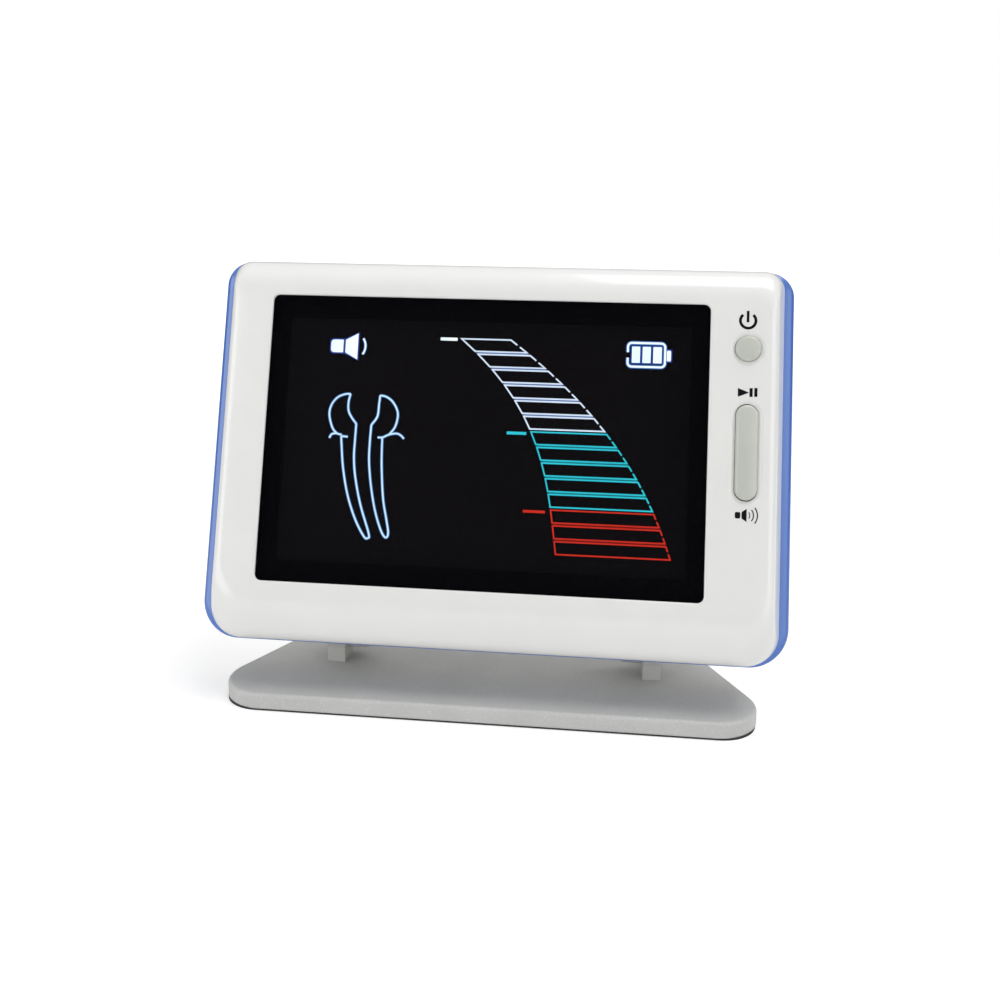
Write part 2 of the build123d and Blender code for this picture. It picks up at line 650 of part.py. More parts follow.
def make_charge_socket():
    """The flat charging socket, open on the head's right side."""
    mouth = HALF_WIDTH - 0.3
    shell = usb_opening(0, mouth - USB_LENGTH, mouth) - usb_opening(-USB_SKIN, mouth - USB_LENGTH + 1.0, mouth + OVER)
    tongue_half = USB_WIDTH / 2 - 1.4
    tongue = block(
        mouth - USB_LENGTH / 2, SOCKET_UP, USB_LENGTH - 1.6, 2 * tongue_half,
        SOCKET_DEPTH - 0.35, SOCKET_DEPTH + 0.35,
    )
    inner = HALF_WIDTH - WALL - SOCKET_CLEARANCE
    stand = block(
        (inner + mouth - USB_LENGTH) / 2, SOCKET_UP, inner - mouth + USB_LENGTH, USB_WIDTH - USB_HEIGHT,
        BOARD_BACK, SOCKET_DEPTH - USB_HEIGHT / 2 + 0.1,
    )
    tongue += block(mouth - USB_LENGTH + 0.8, SOCKET_UP, 1.4, 2 * tongue_half, SOCKET_DEPTH - 0.5, SOCKET_DEPTH + 0.5)
    return shell + tongue + stand


# ---- screws ------------------------------------------------------------------------------
def make_case_screws():
    seat = BAY_BACK - 1.0
    return [
        post(x, up, SCREW_RADIUS, WALL + 2.5, seat + 0.5) + post(x, up, SCREW_HEAD_RADIUS, seat, seat + SCREW_HEAD)
        for x, up in CASE_BOSSES
    ]


def make_board_screws():
    head = SMALL_SCREW_RADIUS + 0.8
    return [
        post(x, up, SMALL_SCREW_RADIUS, WALL + 2.5, BOARD_BACK + 0.5)
        + post(x, up, head, BOARD_BACK, BOARD_BACK + 0.9)
        for x, up in BOARD_BOSSES
    ]


def make_leaf_screws():
    seat = HEAD_DEPTH + LEAF_THICKNESS
    head = SMALL_SCREW_RADIUS + 0.8
    return [
        post(x, up, SMALL_SCREW_RADIUS, BAY_BACK - 3.0, seat + 0.4) + post(x, up, head, seat, seat + LEAF_SCREW_HEAD)
        for x, up in LEAF_SCREWS
    ]


# ---- hinge -------------------------------------------------------------------------------
def make_hinge_leaf():
    """The right-hand leaf: a plate screwed on the head's back that ends in a round knuckle."""
    depth, up = AXIS_IN_HEAD
    inner = LEAF_OUTER - LEAF_WIDTH
    plate = Polygon(
        (HEAD_DEPTH, up + 0.6), (HEAD_DEPTH, up + LEAF_HEIGHT), (HEAD_DEPTH + LEAF_THICKNESS, up + LEAF_HEIGHT),
        (HEAD_DEPTH + LEAF_THICKNESS, up + 8.0), (depth + EAR_RADIUS * 0.6, up + EAR_RADIUS * 0.78), (depth, up + 0.6),
        align=None,
    )
    leaf = across(plate, inner, LEAF_OUTER)
    top_edges = leaf.edges().filter_by(Axis.Y).group_by(Axis.Z)[-1]
    leaf = fillet(top_edges, 1.5)
    knuckle = cross_bar(depth, up, EAR_RADIUS, KNUCKLE_OUTER - KNUCKLE_LENGTH, KNUCKLE_OUTER)
    knuckle = fillet(knuckle.edges().group_by(Axis.X)[0], KNUCKLE_DOME)
    neck = across(
        Pos(depth, up + 1.6) * Rectangle(2 * AXIS_STANDOFF + 0.2, 3.4),
        inner - OVER, KNUCKLE_OUTER - KNUCKLE_LENGTH + KNUCKLE_DOME,
    )
    leaf = leaf - neck + knuckle
    leaf -= cross_bar(depth, up, PIN_RADIUS + PIN_RUNNING, KNUCKLE_OUTER - KNUCKLE_LENGTH + 1.0, KNUCKLE_OUTER + OVER)
    for x, screw_up in LEAF_SCREWS:
        if x > 0:
            leaf -= post(x, screw_up, SMALL_SCREW_RADIUS + SCREW_GAP, HEAD_DEPTH - OVER, HEAD_DEPTH + AXIS_STANDOFF)
    return leaf


def ear_screw_places():
    return [(EAR_OUTER - EAR_WIDTH / 2, AXIS_Y + back) for back in (4.6, EAR_FOOT_LENGTH - 2.6)]


def make_hinge_ear():
    """The right-hand upright on the base plate, round at the hinge axis, with a foot to the back."""
    front, back = AXIS_Y - EAR_RADIUS, AXIS_Y + EAR_FOOT_LENGTH
    toe = front - EAR_TOE
    side = Polygon(
        (toe, PLATE_TOP), (back, PLATE_TOP), (back, PLATE_TOP + EAR_FOOT_HEIGHT * 0.6),
        (AXIS_Y + 7.0, PLATE_TOP + EAR_FOOT_HEIGHT), (AXIS_Y + EAR_RADIUS, AXIS_Z),
        (front, AXIS_Z), (toe, AXIS_Z - EAR_TOE_DROP), align=None,
    )
    ear = across(side + Pos(AXIS_Y, AXIS_Z) * Circle(EAR_RADIUS), EAR_INNER, EAR_OUTER)
    ear -= across(Pos(AXIS_Y, AXIS_Z) * Circle(PIN_RADIUS + PIN_FIT), EAR_INNER - OVER, EAR_OUTER + OVER)
    for x, y in ear_screw_places():
        ear -= Pos(x, y, PLATE_TOP) * Cylinder(SMALL_SCREW_RADIUS + SCREW_GAP, 2 * (EAR_FOOT_HEIGHT - 0.8))
    return ear


def make_hinge_pin():
    start = KNUCKLE_OUTER - KNUCKLE_LENGTH + 1.2
    centre = Pos(AXIS_Y, AXIS_Z)
    pin = across(centre * Circle(PIN_RADIUS), start, EAR_OUTER + 0.2)
    return pin + across(centre * Circle(PIN_HEAD_RADIUS), EAR_OUTER, EAR_OUTER + PIN_HEAD)


def make_hinge_washer():
    ring = Circle(EAR_RADIUS - 0.4) - Circle(PIN_RADIUS + PIN_FIT)
    return across(Pos(AXIS_Y, AXIS_Z) * ring, KNUCKLE_OUTER, EAR_INNER)


# ---- base --------------------------------------------------------------------------------
def base_outline(inset):
    """A trapezoid with round corners, wide at the front; BASE_WIDTH is across the round corners."""
    lean = math.radians(BASE_TAPER)
    front_corner = BASE_WIDTH / 2 + BASE_FRONT_CORNER * (math.tan(lean) + 1 / math.cos(lean) - 1)
    rear_corner = front_corner - BASE_DEPTH * math.tan(lean)
    half = BASE_DEPTH / 2
    face = Polygon(
        (-front_corner, -half), (front_corner, -half), (rear_corner, half), (-rear_corner, half), align=None
    )
    face = fillet(face.vertices().group_by(Axis.Y)[0], BASE_FRONT_CORNER)
    face = fillet(face.vertices().group_by(Axis.Y)[-1], BASE_REAR_CORNER)
    return offset(face, amount=-inset) if inset else face


def make_base_plate():
    plate = Pos(0, 0, PAD_THICKNESS) * extrude(base_outline(0), BASE_THICKNESS)
    plate = fillet(plate.edges().group_by(Axis.Z)[-1], BASE_TOP_EDGE)
    for x, y in ear_screw_places():
        for side in (-1, 1):
            plate -= Pos(side * x, y, PLATE_TOP) * Cylinder(SMALL_SCREW_RADIUS + SCREW_GAP, 4 * BASE_THICKNESS)
            head = Cylinder(SCREW_HEAD_RADIUS - 0.2, 2 * (SCREW_HEAD + SCREW_GAP))
            plate -= Pos(side * x, y, PAD_THICKNESS) * head
    return plate


def make_base_pad():
    return extrude(base_outline(PAD_INSET), PAD_THICKNESS)


def make_ear_screws():
    screws = []
    head_radius = SCREW_HEAD_RADIUS - 0.2 - SCREW_GAP
    shank = BASE_THICKNESS + EAR_FOOT_HEIGHT - 1.2
    for x, y in ear_screw_places():
        for side in (-1, 1):
            head = Cylinder(head_radius, SCREW_HEAD, align=(Align.CENTER, Align.CENTER, Align.MIN))
            stem = Cylinder(SMALL_SCREW_RADIUS, shank, align=(Align.CENTER, Align.CENTER, Align.MIN))
            screws.append(Pos(side * x, y, PAD_THICKNESS) * (head + stem))
    return screws


# ---- build and write ---------------------------------------------------------------------
def build():
    """Every node by name, in the part frame."""
    switches = switch_places()
    head = {
        "front_cover": make_front_cover(),
        "screen_lens": make_screen_lens(),
        "screen_gasket": make_screen_gasket(),
        "lcd_panel": make_lcd_panel(),
        "backlight": make_backlight(),
        "lcd_flex": make_lcd_flex(),
        "power_button": make_power_button(),
        "power_plunger": make_plunger(switches["power"]),
        "rocker_button": make_rocker_button(),
        "rocker_plungers": [make_plunger(switches["play"]), make_plunger(switches["volume"])],
        "rocker_pin": make_rocker_pin(),
        "power_switch": make_switch(switches["power"]),
        "play_switch": make_switch(switches["play"]),
        "volume_switch": make_switch(switches["volume"]),
        "trim_frame": make_trim_frame(),
        "rear_cover": make_rear_cover(),
        "battery_door": make_battery_door(),
        "battery_door_screw": make_door_screw(),
        "battery_cell": make_battery_cell(),
        "battery_header": make_header("battery"),
        "battery_leads": make_battery_leads(),
        "main_board": make_main_board(),
        "board_chips": make_board_chips(),
        "board_screws": make_board_screws(),
        "case_screws": make_case_screws(),
        "speaker": make_speaker(),
        "speaker_header": make_header("speaker"),
        "speaker_leads": make_speaker_leads(),
        "probe_lead_socket": make_lead_socket(),
        "charge_socket": make_charge_socket(),
        "leaf_screws": make_leaf_screws(),
    }
    right_leaf, left_leaf = both_sides(make_hinge_leaf())
    head["hinge_leaf_right"] = right_leaf
    head["hinge_leaf_left"] = left_leaf
    nodes = {}
    for name, shape in head.items():
        solids = shape if isinstance(shape, list) else [shape]
        nodes[name] = [on_head(solid) for solid in solids]
    nodes["base_plate"] = [make_base_plate()]
    nodes["base_pad"] = [make_base_pad()]
    nodes["ear_screws"] = make_ear_screws()
    nodes["hinge_washers"] = list(both_sides(make_hinge_washer()))
    for name, maker in (("hinge_ear", make_hinge_ear), ("hinge_pin", make_hinge_pin)):
        right, left = both_sides(maker())
        nodes[name + "_right"] = [right]
        nodes[name + "_left"] = [left]
    return nodes


def main():
    os.makedirs("parts", exist_ok=True)
    for name, shapes in build().items():
        solids = [solid for shape in shapes for solid in shape.solids()]
        export_step(Compound(children=solids) if len(solids) > 1 else solids[0], f"parts/{name}.step")
        print(f"{name}: {len(solids)} solid(s), {sum(s.volume for s in solids):.1f} mm3")
    print(f"head width over trim {2 * (HALF_WIDTH + TRIM_PROUD_SIDE):.1f}, hinge axis y {AXIS_Y:.2f} z {AXIS_Z:.2f}")


main()
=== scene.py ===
# %% [markdown]
# # A desk-top apex locator
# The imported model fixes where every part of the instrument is. This lesson dresses it: smooth
# surfaces where the solid model is made of flat strips, light marks behind the window, and a
# finish for every part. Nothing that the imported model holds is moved.

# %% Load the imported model
import json
import math

import bmesh
import bpy
import numpy as np
from mathutils import Matrix, Vector
from mathutils.geometry import tessellate_polygon


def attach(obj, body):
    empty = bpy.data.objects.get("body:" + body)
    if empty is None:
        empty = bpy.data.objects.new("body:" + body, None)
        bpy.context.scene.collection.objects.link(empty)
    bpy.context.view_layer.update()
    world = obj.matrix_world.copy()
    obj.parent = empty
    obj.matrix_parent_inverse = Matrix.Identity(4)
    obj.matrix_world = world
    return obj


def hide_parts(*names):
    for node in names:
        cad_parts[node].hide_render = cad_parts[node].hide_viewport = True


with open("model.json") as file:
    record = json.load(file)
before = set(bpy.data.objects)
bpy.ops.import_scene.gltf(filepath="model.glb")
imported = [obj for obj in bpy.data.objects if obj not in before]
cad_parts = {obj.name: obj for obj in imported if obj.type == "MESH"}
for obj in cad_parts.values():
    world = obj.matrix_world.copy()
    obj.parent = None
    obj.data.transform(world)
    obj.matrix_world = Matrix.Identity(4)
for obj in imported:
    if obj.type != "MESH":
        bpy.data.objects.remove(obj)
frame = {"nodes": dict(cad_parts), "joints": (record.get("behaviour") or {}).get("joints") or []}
bpy.context.view_layer.update()

# %% [markdown]
# The head leans back on its hinge, so its parts are easier to draw in its own directions: to the
# right, inwards from the face, and up the face. The power button's travel gives the inward
# direction. Zero is on the flat face, at the middle of the window.

# %% The head's own directions
joints = {joint["name"]: joint for joint in frame["joints"]}
RIGHT = np.array([1.0, 0.0, 0.0])
INWARD = np.array(joints["power_press"]["axis"], float)
UPWARD = np.cross(RIGHT, INWARD)
AXES = np.stack([RIGHT, INWARD, UPWARD])


def node_points(node):
    """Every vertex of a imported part, as an array of rows (X, Y, Z) in metres."""
    mesh = frame["nodes"][node].data
    points = np.empty(3 * len(mesh.vertices))
    mesh.vertices.foreach_get("co", points)
    return points.reshape(-1, 3)


def span(node):
    """Lowest and highest reach of a part along the head's three directions, in metres."""
    reach = node_points(node) @ AXES.T
    return reach.min(0), reach.max(0)


lens_low, lens_high = span("screen_lens")
HEAD_ZERO = np.array([0.0, span("front_cover")[0][1], (lens_low[2] + lens_high[2]) / 2]) @ AXES


def head_box(node):
    """A part's lowest and highest corner in the head's directions, in millimetres from its zero."""
    low, high = span(node)
    shift = AXES @ HEAD_ZERO
    return 1000 * (low - shift), 1000 * (high - shift)


def place_on_head(points):
    """Rows of (right, inward, up) in millimetres, turned into the model's metres."""
    return HEAD_ZERO + 0.001 * np.asarray(points, float) @ AXES


print("window glass, mm:", [np.round(corner, 2).tolist() for corner in head_box("screen_lens")])

# %% [markdown]
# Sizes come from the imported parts. What a box can't tell, such as a roll's height or a lip's
# width, is written here once.

# %% Sizes of the shell
trim_low, trim_high = head_box("trim_frame")
glass_low, glass_high = head_box("screen_lens")
rear_low, rear_high = head_box("rear_cover")
SEAM, SEAM_BACK = trim_low[1], trim_high[1]
HALF, TOP, BOTTOM = rear_high[0], rear_high[2], rear_low[2]
BAND_SIDE, BAND_END = trim_high[0] - HALF, trim_high[2] - TOP
TOP_CORNER, BOTTOM_CORNER, BAND_CORNER = 3.8, 7.0, 1.4
TOP_ROLL, BOTTOM_ROLL = 7.6, 10.9
FACE_INSET, FACE_EDGE = 2.35, 1.5
WALL = glass_high[1]
LIP, LIP_DEPTH = 1.1, glass_low[1]
WINDOW_X = (glass_low[0] + glass_high[0]) / 2
WINDOW_HALF = (glass_high[0] - glass_low[0]) / 2 - LIP
WINDOW_UP = (glass_high[2] - glass_low[2]) / 2 - LIP
WINDOW_CORNER = 1.4
print("head half width", round(HALF, 2), "top", round(TOP, 2), "bottom", round(BOTTOM, 2))
print("window", round(2 * WINDOW_HALF, 1), "by", round(2 * WINDOW_UP, 1), "seam at", round(SEAM, 2))

# %% [markdown]
# ## Camera, table and light
# The camera stands close in front, a little to the right and above. Its picture is slid down a
# little, so that the object's upright lines stay where a close view puts them.

# %% Camera
CAMERA_PLACE = (0.0225, -0.23007, 0.10278)
AZIMUTH, LOOK_DOWN, ROLL = math.radians(5.77), math.radians(11.28), math.radians(0.97)
forward = np.array([-math.sin(AZIMUTH) * math.cos(LOOK_DOWN), math.cos(AZIMUTH) * math.cos(LOOK_DOWN),
                    -math.sin(LOOK_DOWN)])
level = np.array([math.cos(AZIMUTH), math.sin(AZIMUTH), 0.0])
over = np.cross(level, forward)
side, over = math.cos(ROLL) * level + math.sin(ROLL) * over, math.cos(ROLL) * over - math.sin(ROLL) * level
camera = bpy.data.objects.new("camera", bpy.data.cameras.new("camera"))
bpy.context.scene.collection.objects.link(camera)
turn = Matrix(np.stack([side, over, -forward], axis=1).tolist()).to_4x4()
camera.matrix_world = Matrix.Translation(CAMERA_PLACE) @ turn
camera.data.sensor_width, camera.data.lens = 36.0, 36.0
camera.data.shift_y = -0.07
camera.data.clip_start, camera.data.clip_end = 0.01, 50.0
bpy.context.scene.camera = camera
print("camera distance to the window, mm:", round(1000 * np.linalg.norm(HEAD_ZERO - camera.location), 1))

# %% [markdown]
# A shader is a small graph of nodes. Two short classes keep its maths readable: a Value wraps one
# socket, so that 1 - mask adds a Math node by itself, and a Graph makes every other node through
# one method, which sets what the node is before it fills its sockets.


# %% Shader maths as expressions
class Value:
    """A socket that carries a number; each operator adds one Math node."""

    def __init__(self, graph, socket):
        self.graph, self.socket = graph, socket

    def math(self, operation, first, second=0.0):
        return self.graph.node("ShaderNodeMath", {"operation": operation}, {0: first, 1: second})

    def __add__(self, other):
        return self.math("ADD", self, other)

    def __sub__(self, other):
        return self.math("SUBTRACT", self, other)

    def __rsub__(self, other):
        return self.math("SUBTRACT", other, self)

    def __mul__(self, other):
        return self.math("MULTIPLY", self, other)

    def __truediv__(self, other):
        return self.math("DIVIDE", self, other)

    def __abs__(self):
        return self.math("ABSOLUTE", self)

    __radd__, __rmul__ = __add__, __mul__

    def ramp(self, start, end):
        """0 where this is at start and 1 where it is at end, with a smooth step between."""
        return self.graph.node("ShaderNodeMapRange", {"interpolation_type": "SMOOTHSTEP"},
                               {"Value": self, "From Min": start, "From Max": end})


class Graph:
    """A node tree, with one method that adds any node to it."""

    def __init__(self, tree):
        self.tree = tree

    def node(self, kind, settings=None, inputs=None, output=0):
        made = self.tree.nodes.new(kind)
        for key, setting in (settings or {}).items():
            setattr(made, key, setting)
        for key, content in (inputs or {}).items():
            if isinstance(content, Value):
                self.tree.links.new(content.socket, made.inputs[key])
            else:
                made.inputs[key].default_value = content
        return Value(self, made.outputs[output])

    def mix(self, factor, first, second):
        """A colour between two others."""
        return self.node("ShaderNodeMix", {"data_type": "RGBA"}, {0: factor, 6: first, 7: second}, output=2)

    def dot(self, vector, direction):
        """How far a place reaches along a direction."""
        return self.node("ShaderNodeVectorMath", {"operation": "DOT_PRODUCT"},
                         {0: vector, 1: tuple(direction)}, output="Value")

    def noise(self, place, scale, detail=2.0):
        """Cloudy noise from 0 to 1, with this many clouds in a metre."""
        return self.node("ShaderNodeTexNoise", None, {"Vector": place, "Scale": scale, "Detail": detail})


print("shader helpers ready")

# %% [markdown]
# The instrument stands on a white table in soft light. A black window mirrors what is in front of
# it, so that side of the studio is kept dark, and soft boxes light the instrument from both sides
# and from above. The room is dim to the object and white to the eye, and so is the far table.

# %% Room
DARK_SIDE = (-0.10, -0.92, 0.38)
world = bpy.data.worlds.new("studio")
world.use_nodes = True
bpy.context.scene.world = world
bpy.context.scene.view_settings.view_transform = "Standard"
room = Graph(world.node_tree)
facing = room.node("ShaderNodeTexCoord", output="Generated")
front = room.dot(facing, DARK_SIDE).ramp(0.50, 0.95)
height = room.dot(facing, (0.0, 0.0, 1.0)).ramp(-0.1, 0.9)
to_eye = room.node("ShaderNodeLightPath", output="Is Camera Ray")
glow = room.mix(height, (0.07, 0.07, 0.07, 1.0), (0.70, 0.70, 0.71, 1.0))
glow = room.mix(front, glow, (0.02, 0.02, 0.025, 1.0))
seen = room.mix(to_eye, glow, (1.0, 1.0, 1.0, 1.0))
background = next(n for n in world.node_tree.nodes if n.type == "BACKGROUND")
world.node_tree.links.new(seen.socket, background.inputs["Color"])
print("room nodes:", len(world.node_tree.nodes))


# %% Lamps and table
def lamp(name, place, aim, size, watts, colour=(1.0, 1.0, 1.0)):
    """A square soft lamp at a place, turned towards another; all lengths in metres."""
    light = bpy.data.lights.new(name, "AREA")
    light.shape, light.size, light.energy, light.color = "SQUARE", size, watts, colour
    obj = bpy.data.objects.new(name, light)
    bpy.context.scene.collection.objects.link(obj)
    obj.location = place
    obj.rotation_euler = (Vector(aim) - Vector(place)).to_track_quat("-Z", "Y").to_euler()


AIM = (0.0, -0.02, 0.05)
lamp("lamp_left", (-0.62, -0.50, 0.17), AIM, 0.70, 3.9)
lamp("lamp_right", (0.60, -0.52, 0.19), AIM, 0.70, 2.4)
lamp("lamp_over", (0.25, 0.0, 0.76), AIM, 0.50, 2.8)
table_mesh = bpy.data.meshes.new("table")
table_mesh.from_pydata([(x, y, 0.0) for x, y in ((-6, -6), (6, -6), (6, 6), (-6, 6))], [], [(0, 1, 2, 3)])
table = bpy.data.objects.new("table", table_mesh)
bpy.context.scene.collection.objects.link(table)


# %% [markdown]
# ## Finishes
# Moulded plastic is never one flat colour. Its tone drifts a little, its gloss drifts with it,
# and a close look finds a fine skin texture. One recipe gives all three, and a soft edge where
# the solid model's edges are knife-sharp.

# %% The recipe
def begin(name):
    """A new material: its graph, its shader and the place on the object in metres."""
    material = bpy.data.materials.new(name)
    material.use_nodes = True
    graph = Graph(material.node_tree)
    shader = next(n for n in material.node_tree.nodes if n.type == "BSDF_PRINCIPLED")
    return material, graph, shader, graph.node("ShaderNodeTexCoord", output="Object")


def feed(graph, shader, **inputs):
    """Fills the shader's sockets; underscores in a name stand for spaces."""
    for key, content in inputs.items():
        socket = shader.inputs[key.replace("_", " ")]
        if isinstance(content, Value):
            graph.tree.links.new(content.socket, socket)
        else:
            socket.default_value = content


def raised(graph, heights, size, edge=0.0):
    """A bump as high as size in metres, over a softened edge of that radius in metres."""
    inputs = {"Height": heights, "Distance": size, "Strength": 1.0}
    if edge:
        inputs["Normal"] = graph.node("ShaderNodeBevel", {"samples": 4}, {"Radius": edge})
    return graph.node("ShaderNodeBump", None, inputs)


def shade(colour, factor):
    """The colour made lighter or darker, with full alpha."""
    return tuple(min(1.0, part * factor) for part in colour) + (1.0,)


def moulded(name, colour, rough, metal=0.0, drift=0.05, grain=2500.0, skin=0.000004, edge=0.00015, **more):
    """Colour and gloss that drift over a few millimetres, and a fine skin."""
    material, graph, shader, place = begin(name)
    cloud = graph.noise(place, 120.0, 3.0)
    fine = graph.noise(place, grain, 2.0)
    tone = graph.mix(cloud.ramp(0.3, 0.7), shade(colour, 1 - drift), shade(colour, 1 + drift))
    feed(graph, shader, Base_Color=tone, Roughness=rough * 0.85 + rough * 0.3 * cloud, Metallic=metal,
         Normal=raised(graph, fine, skin, edge), **more)
    return material


def dress(material, *nodes):
    """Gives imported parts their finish."""
    for node in nodes:
        for slot in frame["nodes"][node].material_slots:
            slot.material = material


print("recipe ready")

# %% [markdown]
# The white shell is a glossy moulding. The paint of the base is different: it is baked on, with a
# fine orange-peel and tiny pale flecks that are painted glints standing for its sparkle, so its recipe adds
# flecks from cell noise.

# %% Shell, base and table
shell_white = moulded("shell_white", (0.83, 0.83, 0.81), 0.18, drift=0.008, grain=900.0, skin=0.000002,
                      edge=0.0003, Coat_Weight=0.35, Coat_Roughness=0.04)


def textured_paint(name, colour):
    """Grey paint with a sandy skin, and a faint pale fleck where a cell's random value is high; the flecks
    are painted glints for the paint's sparkle.
    """
    material, graph, shader, place = begin(name)
    cells = graph.node("ShaderNodeTexVoronoi", None, {"Vector": place, "Scale": 4200.0}, output="Color")
    chance = graph.dot(cells, (0.34, 0.33, 0.33))
    sparkle_glint, pit = chance.ramp(0.74, 0.84), chance.ramp(0.26, 0.16)
    cloud = graph.noise(place, 90.0, 2.0)
    tone = graph.mix(cloud.ramp(0.3, 0.7), shade(colour, 0.97), shade(colour, 1.03))
    tone = graph.mix(pit * 0.30, tone, shade(colour, 0.70))
    # Pale flecks mixed into the colour: painted glints that stand for the paint's sparkle.
    tone = graph.mix(sparkle_glint * 0.22, tone, (0.90, 0.90, 0.91, 1.0))
    sand = graph.noise(place, 2600.0, 3.0)
    feed(graph, shader, Base_Color=tone, Roughness=0.42 + 0.12 * sand,
         Normal=raised(graph, sand, 0.000012, 0.0004), Coat_Weight=0.08, Coat_Roughness=0.25)
    return material


base_grey = textured_paint("base_grey", (0.56, 0.56, 0.545))


def lit_table():
    """A white table that meets the white room: to the eye it glows, and more with distance."""
    material, graph, shader, place = begin("table_white")
    reach = graph.node("ShaderNodeVectorMath", {"operation": "LENGTH"}, {0: place}, output="Value")
    cloud = graph.noise(place, 20.0, 2.0)
    to_camera = graph.node("ShaderNodeLightPath", output="Is Camera Ray")
    glow = graph.mix(reach.ramp(0.10, 0.9), (0.40, 0.40, 0.40, 1.0), (0.85, 0.85, 0.85, 1.0))
    feed(graph, shader, Base_Color=graph.mix(cloud, (0.80, 0.80, 0.80, 1.0), (0.81, 0.81, 0.81, 1.0)),
         Roughness=0.8, Emission_Color=graph.mix(to_camera, (0.05, 0.05, 0.05, 1.0), glow),
         Emission_Strength=1.0)
    return material


table_mesh.materials.append(lit_table())
dress(shell_white, "rear_cover", "battery_door")
dress(base_grey, "base_plate")
print("shell, base and table finished")

# %% [markdown]
# The smaller parts use the same recipe with their own numbers. Most are hidden in the head, but
# each one still has the finish of its own stuff.

# %% Small parts
dress(moulded("steel", (0.55, 0.55, 0.56), 0.26, metal=1.0, drift=0.08, grain=4000.0), "rocker_pin",
      "charge_socket", "battery_door_screw", "board_screws", "case_screws", "leaf_screws", "ear_screws",
      "hinge_pin_left", "hinge_pin_right")
dress(moulded("hinge_grey", (0.56, 0.565, 0.535), 0.34, drift=0.03, grain=1800.0, edge=0.0003),
      "hinge_ear_left", "hinge_ear_right", "hinge_leaf_left", "hinge_leaf_right")
dress(moulded("seal_black", (0.0020, 0.0020, 0.0040), 0.6, drift=0.1, edge=0.0, Specular_IOR_Level=0.05),
      "screen_gasket")
dress(moulded("diffuser_white", (0.80, 0.80, 0.80), 0.6), "backlight")
dress(moulded("flex_amber", (0.60, 0.28, 0.06), 0.35, drift=0.1), "lcd_flex")
dress(moulded("switch_black", (0.03, 0.03, 0.032), 0.5, drift=0.2), "power_switch", "play_switch",
      "volume_switch", "board_chips", "speaker")
dress(moulded("plunger_brown", (0.25, 0.13, 0.06), 0.5, drift=0.1), "power_plunger", "rocker_plungers")
dress(moulded("cell_silver", (0.62, 0.63, 0.65), 0.35, metal=0.8, grain=700.0, skin=0.00002), "battery_cell")
dress(moulded("header_white", (0.80, 0.78, 0.70), 0.5), "battery_header", "speaker_header")
dress(moulded("lead_red", (0.55, 0.03, 0.025), 0.4, drift=0.1), "battery_leads", "speaker_leads")
dress(moulded("socket_black", (0.03, 0.03, 0.034), 0.35, drift=0.15), "probe_lead_socket")
dress(moulded("washer_nylon", (0.80, 0.78, 0.70), 0.45), "hinge_washers")


def board_green():
    """A board: copper tracks under green lacquer, from bands of a stretched wave."""
    material, graph, shader, place = begin("board_green")
    tracks = graph.node("ShaderNodeTexWave", {"wave_type": "BANDS", "bands_direction": "X"},
                        {"Vector": place, "Scale": 260.0, "Distortion": 4.0, "Detail": 0.0}, output="Fac")
    tone = graph.mix(tracks.ramp(0.55, 0.75), (0.012, 0.12, 0.05, 1.0), (0.03, 0.22, 0.09, 1.0))
    feed(graph, shader, Base_Color=tone, Roughness=0.3 + 0.1 * tracks, Normal=raised(graph, tracks, 0.00002))
    return material


dress(board_green(), "main_board")
print("small parts finished")

# %% [markdown]
# The window is a clear sheet that looks black, because all behind it is black. It is made of dark
# glass whose two faces each let two thirds of the light through, so the lit marks behind it are
# made brighter, and the panel behind it is a very slightly warmer black than the border.


# %% Window and panel
def dark_glass():
    """Clear dark sheet; a faint haze keeps its shine from being perfect."""
    material, graph, shader, place = begin("screen_glass")
    haze = graph.noise(place, 60.0, 3.0)
    feed(graph, shader, Base_Color=(0.004, 0.004, 0.005, 1.0), Roughness=0.03 + 0.05 * haze, Alpha=0.34,
         Specular_IOR_Level=0.5)
    material.surface_render_method = "BLENDED"
    return material


def panel_black():
    """The display's own black, with a weak backlight that fades towards its edges."""
    material, graph, shader, place = begin("screen_black")
    across = graph.dot(place, 1000 * RIGHT) - WINDOW_X
    upward = graph.dot(place, 1000 * UPWARD) - float(1000 * HEAD_ZERO @ UPWARD)
    inside = abs(across).ramp(48.0, 30.0) * abs(upward).ramp(32.0, 18.0)
    cloud = graph.noise(place, 40.0, 2.0)
    glow = graph.mix(inside * (0.7 + 0.3 * cloud), (0.0022, 0.0020, 0.0026, 1.0),
                     (0.0056, 0.0044, 0.0046, 1.0))
    feed(graph, shader, Base_Color=(0.004, 0.0035, 0.004, 1.0), Roughness=0.3 + 0.1 * cloud,
         Emission_Color=glow, Emission_Strength=1.0, Specular_IOR_Level=0.1)
    return material


dress(dark_glass(), "screen_lens")
dress(panel_black(), "lcd_panel")
print("window and panel finished")

# %% [markdown]
# ## Surfaces from outlines
# Every opening and every section of the head is a rectangle with round corners, a slot or a
# circle, and all three are the same curve with other numbers. A surface is a stack of such
# outlines: neighbours are joined by a row of four-sided faces.


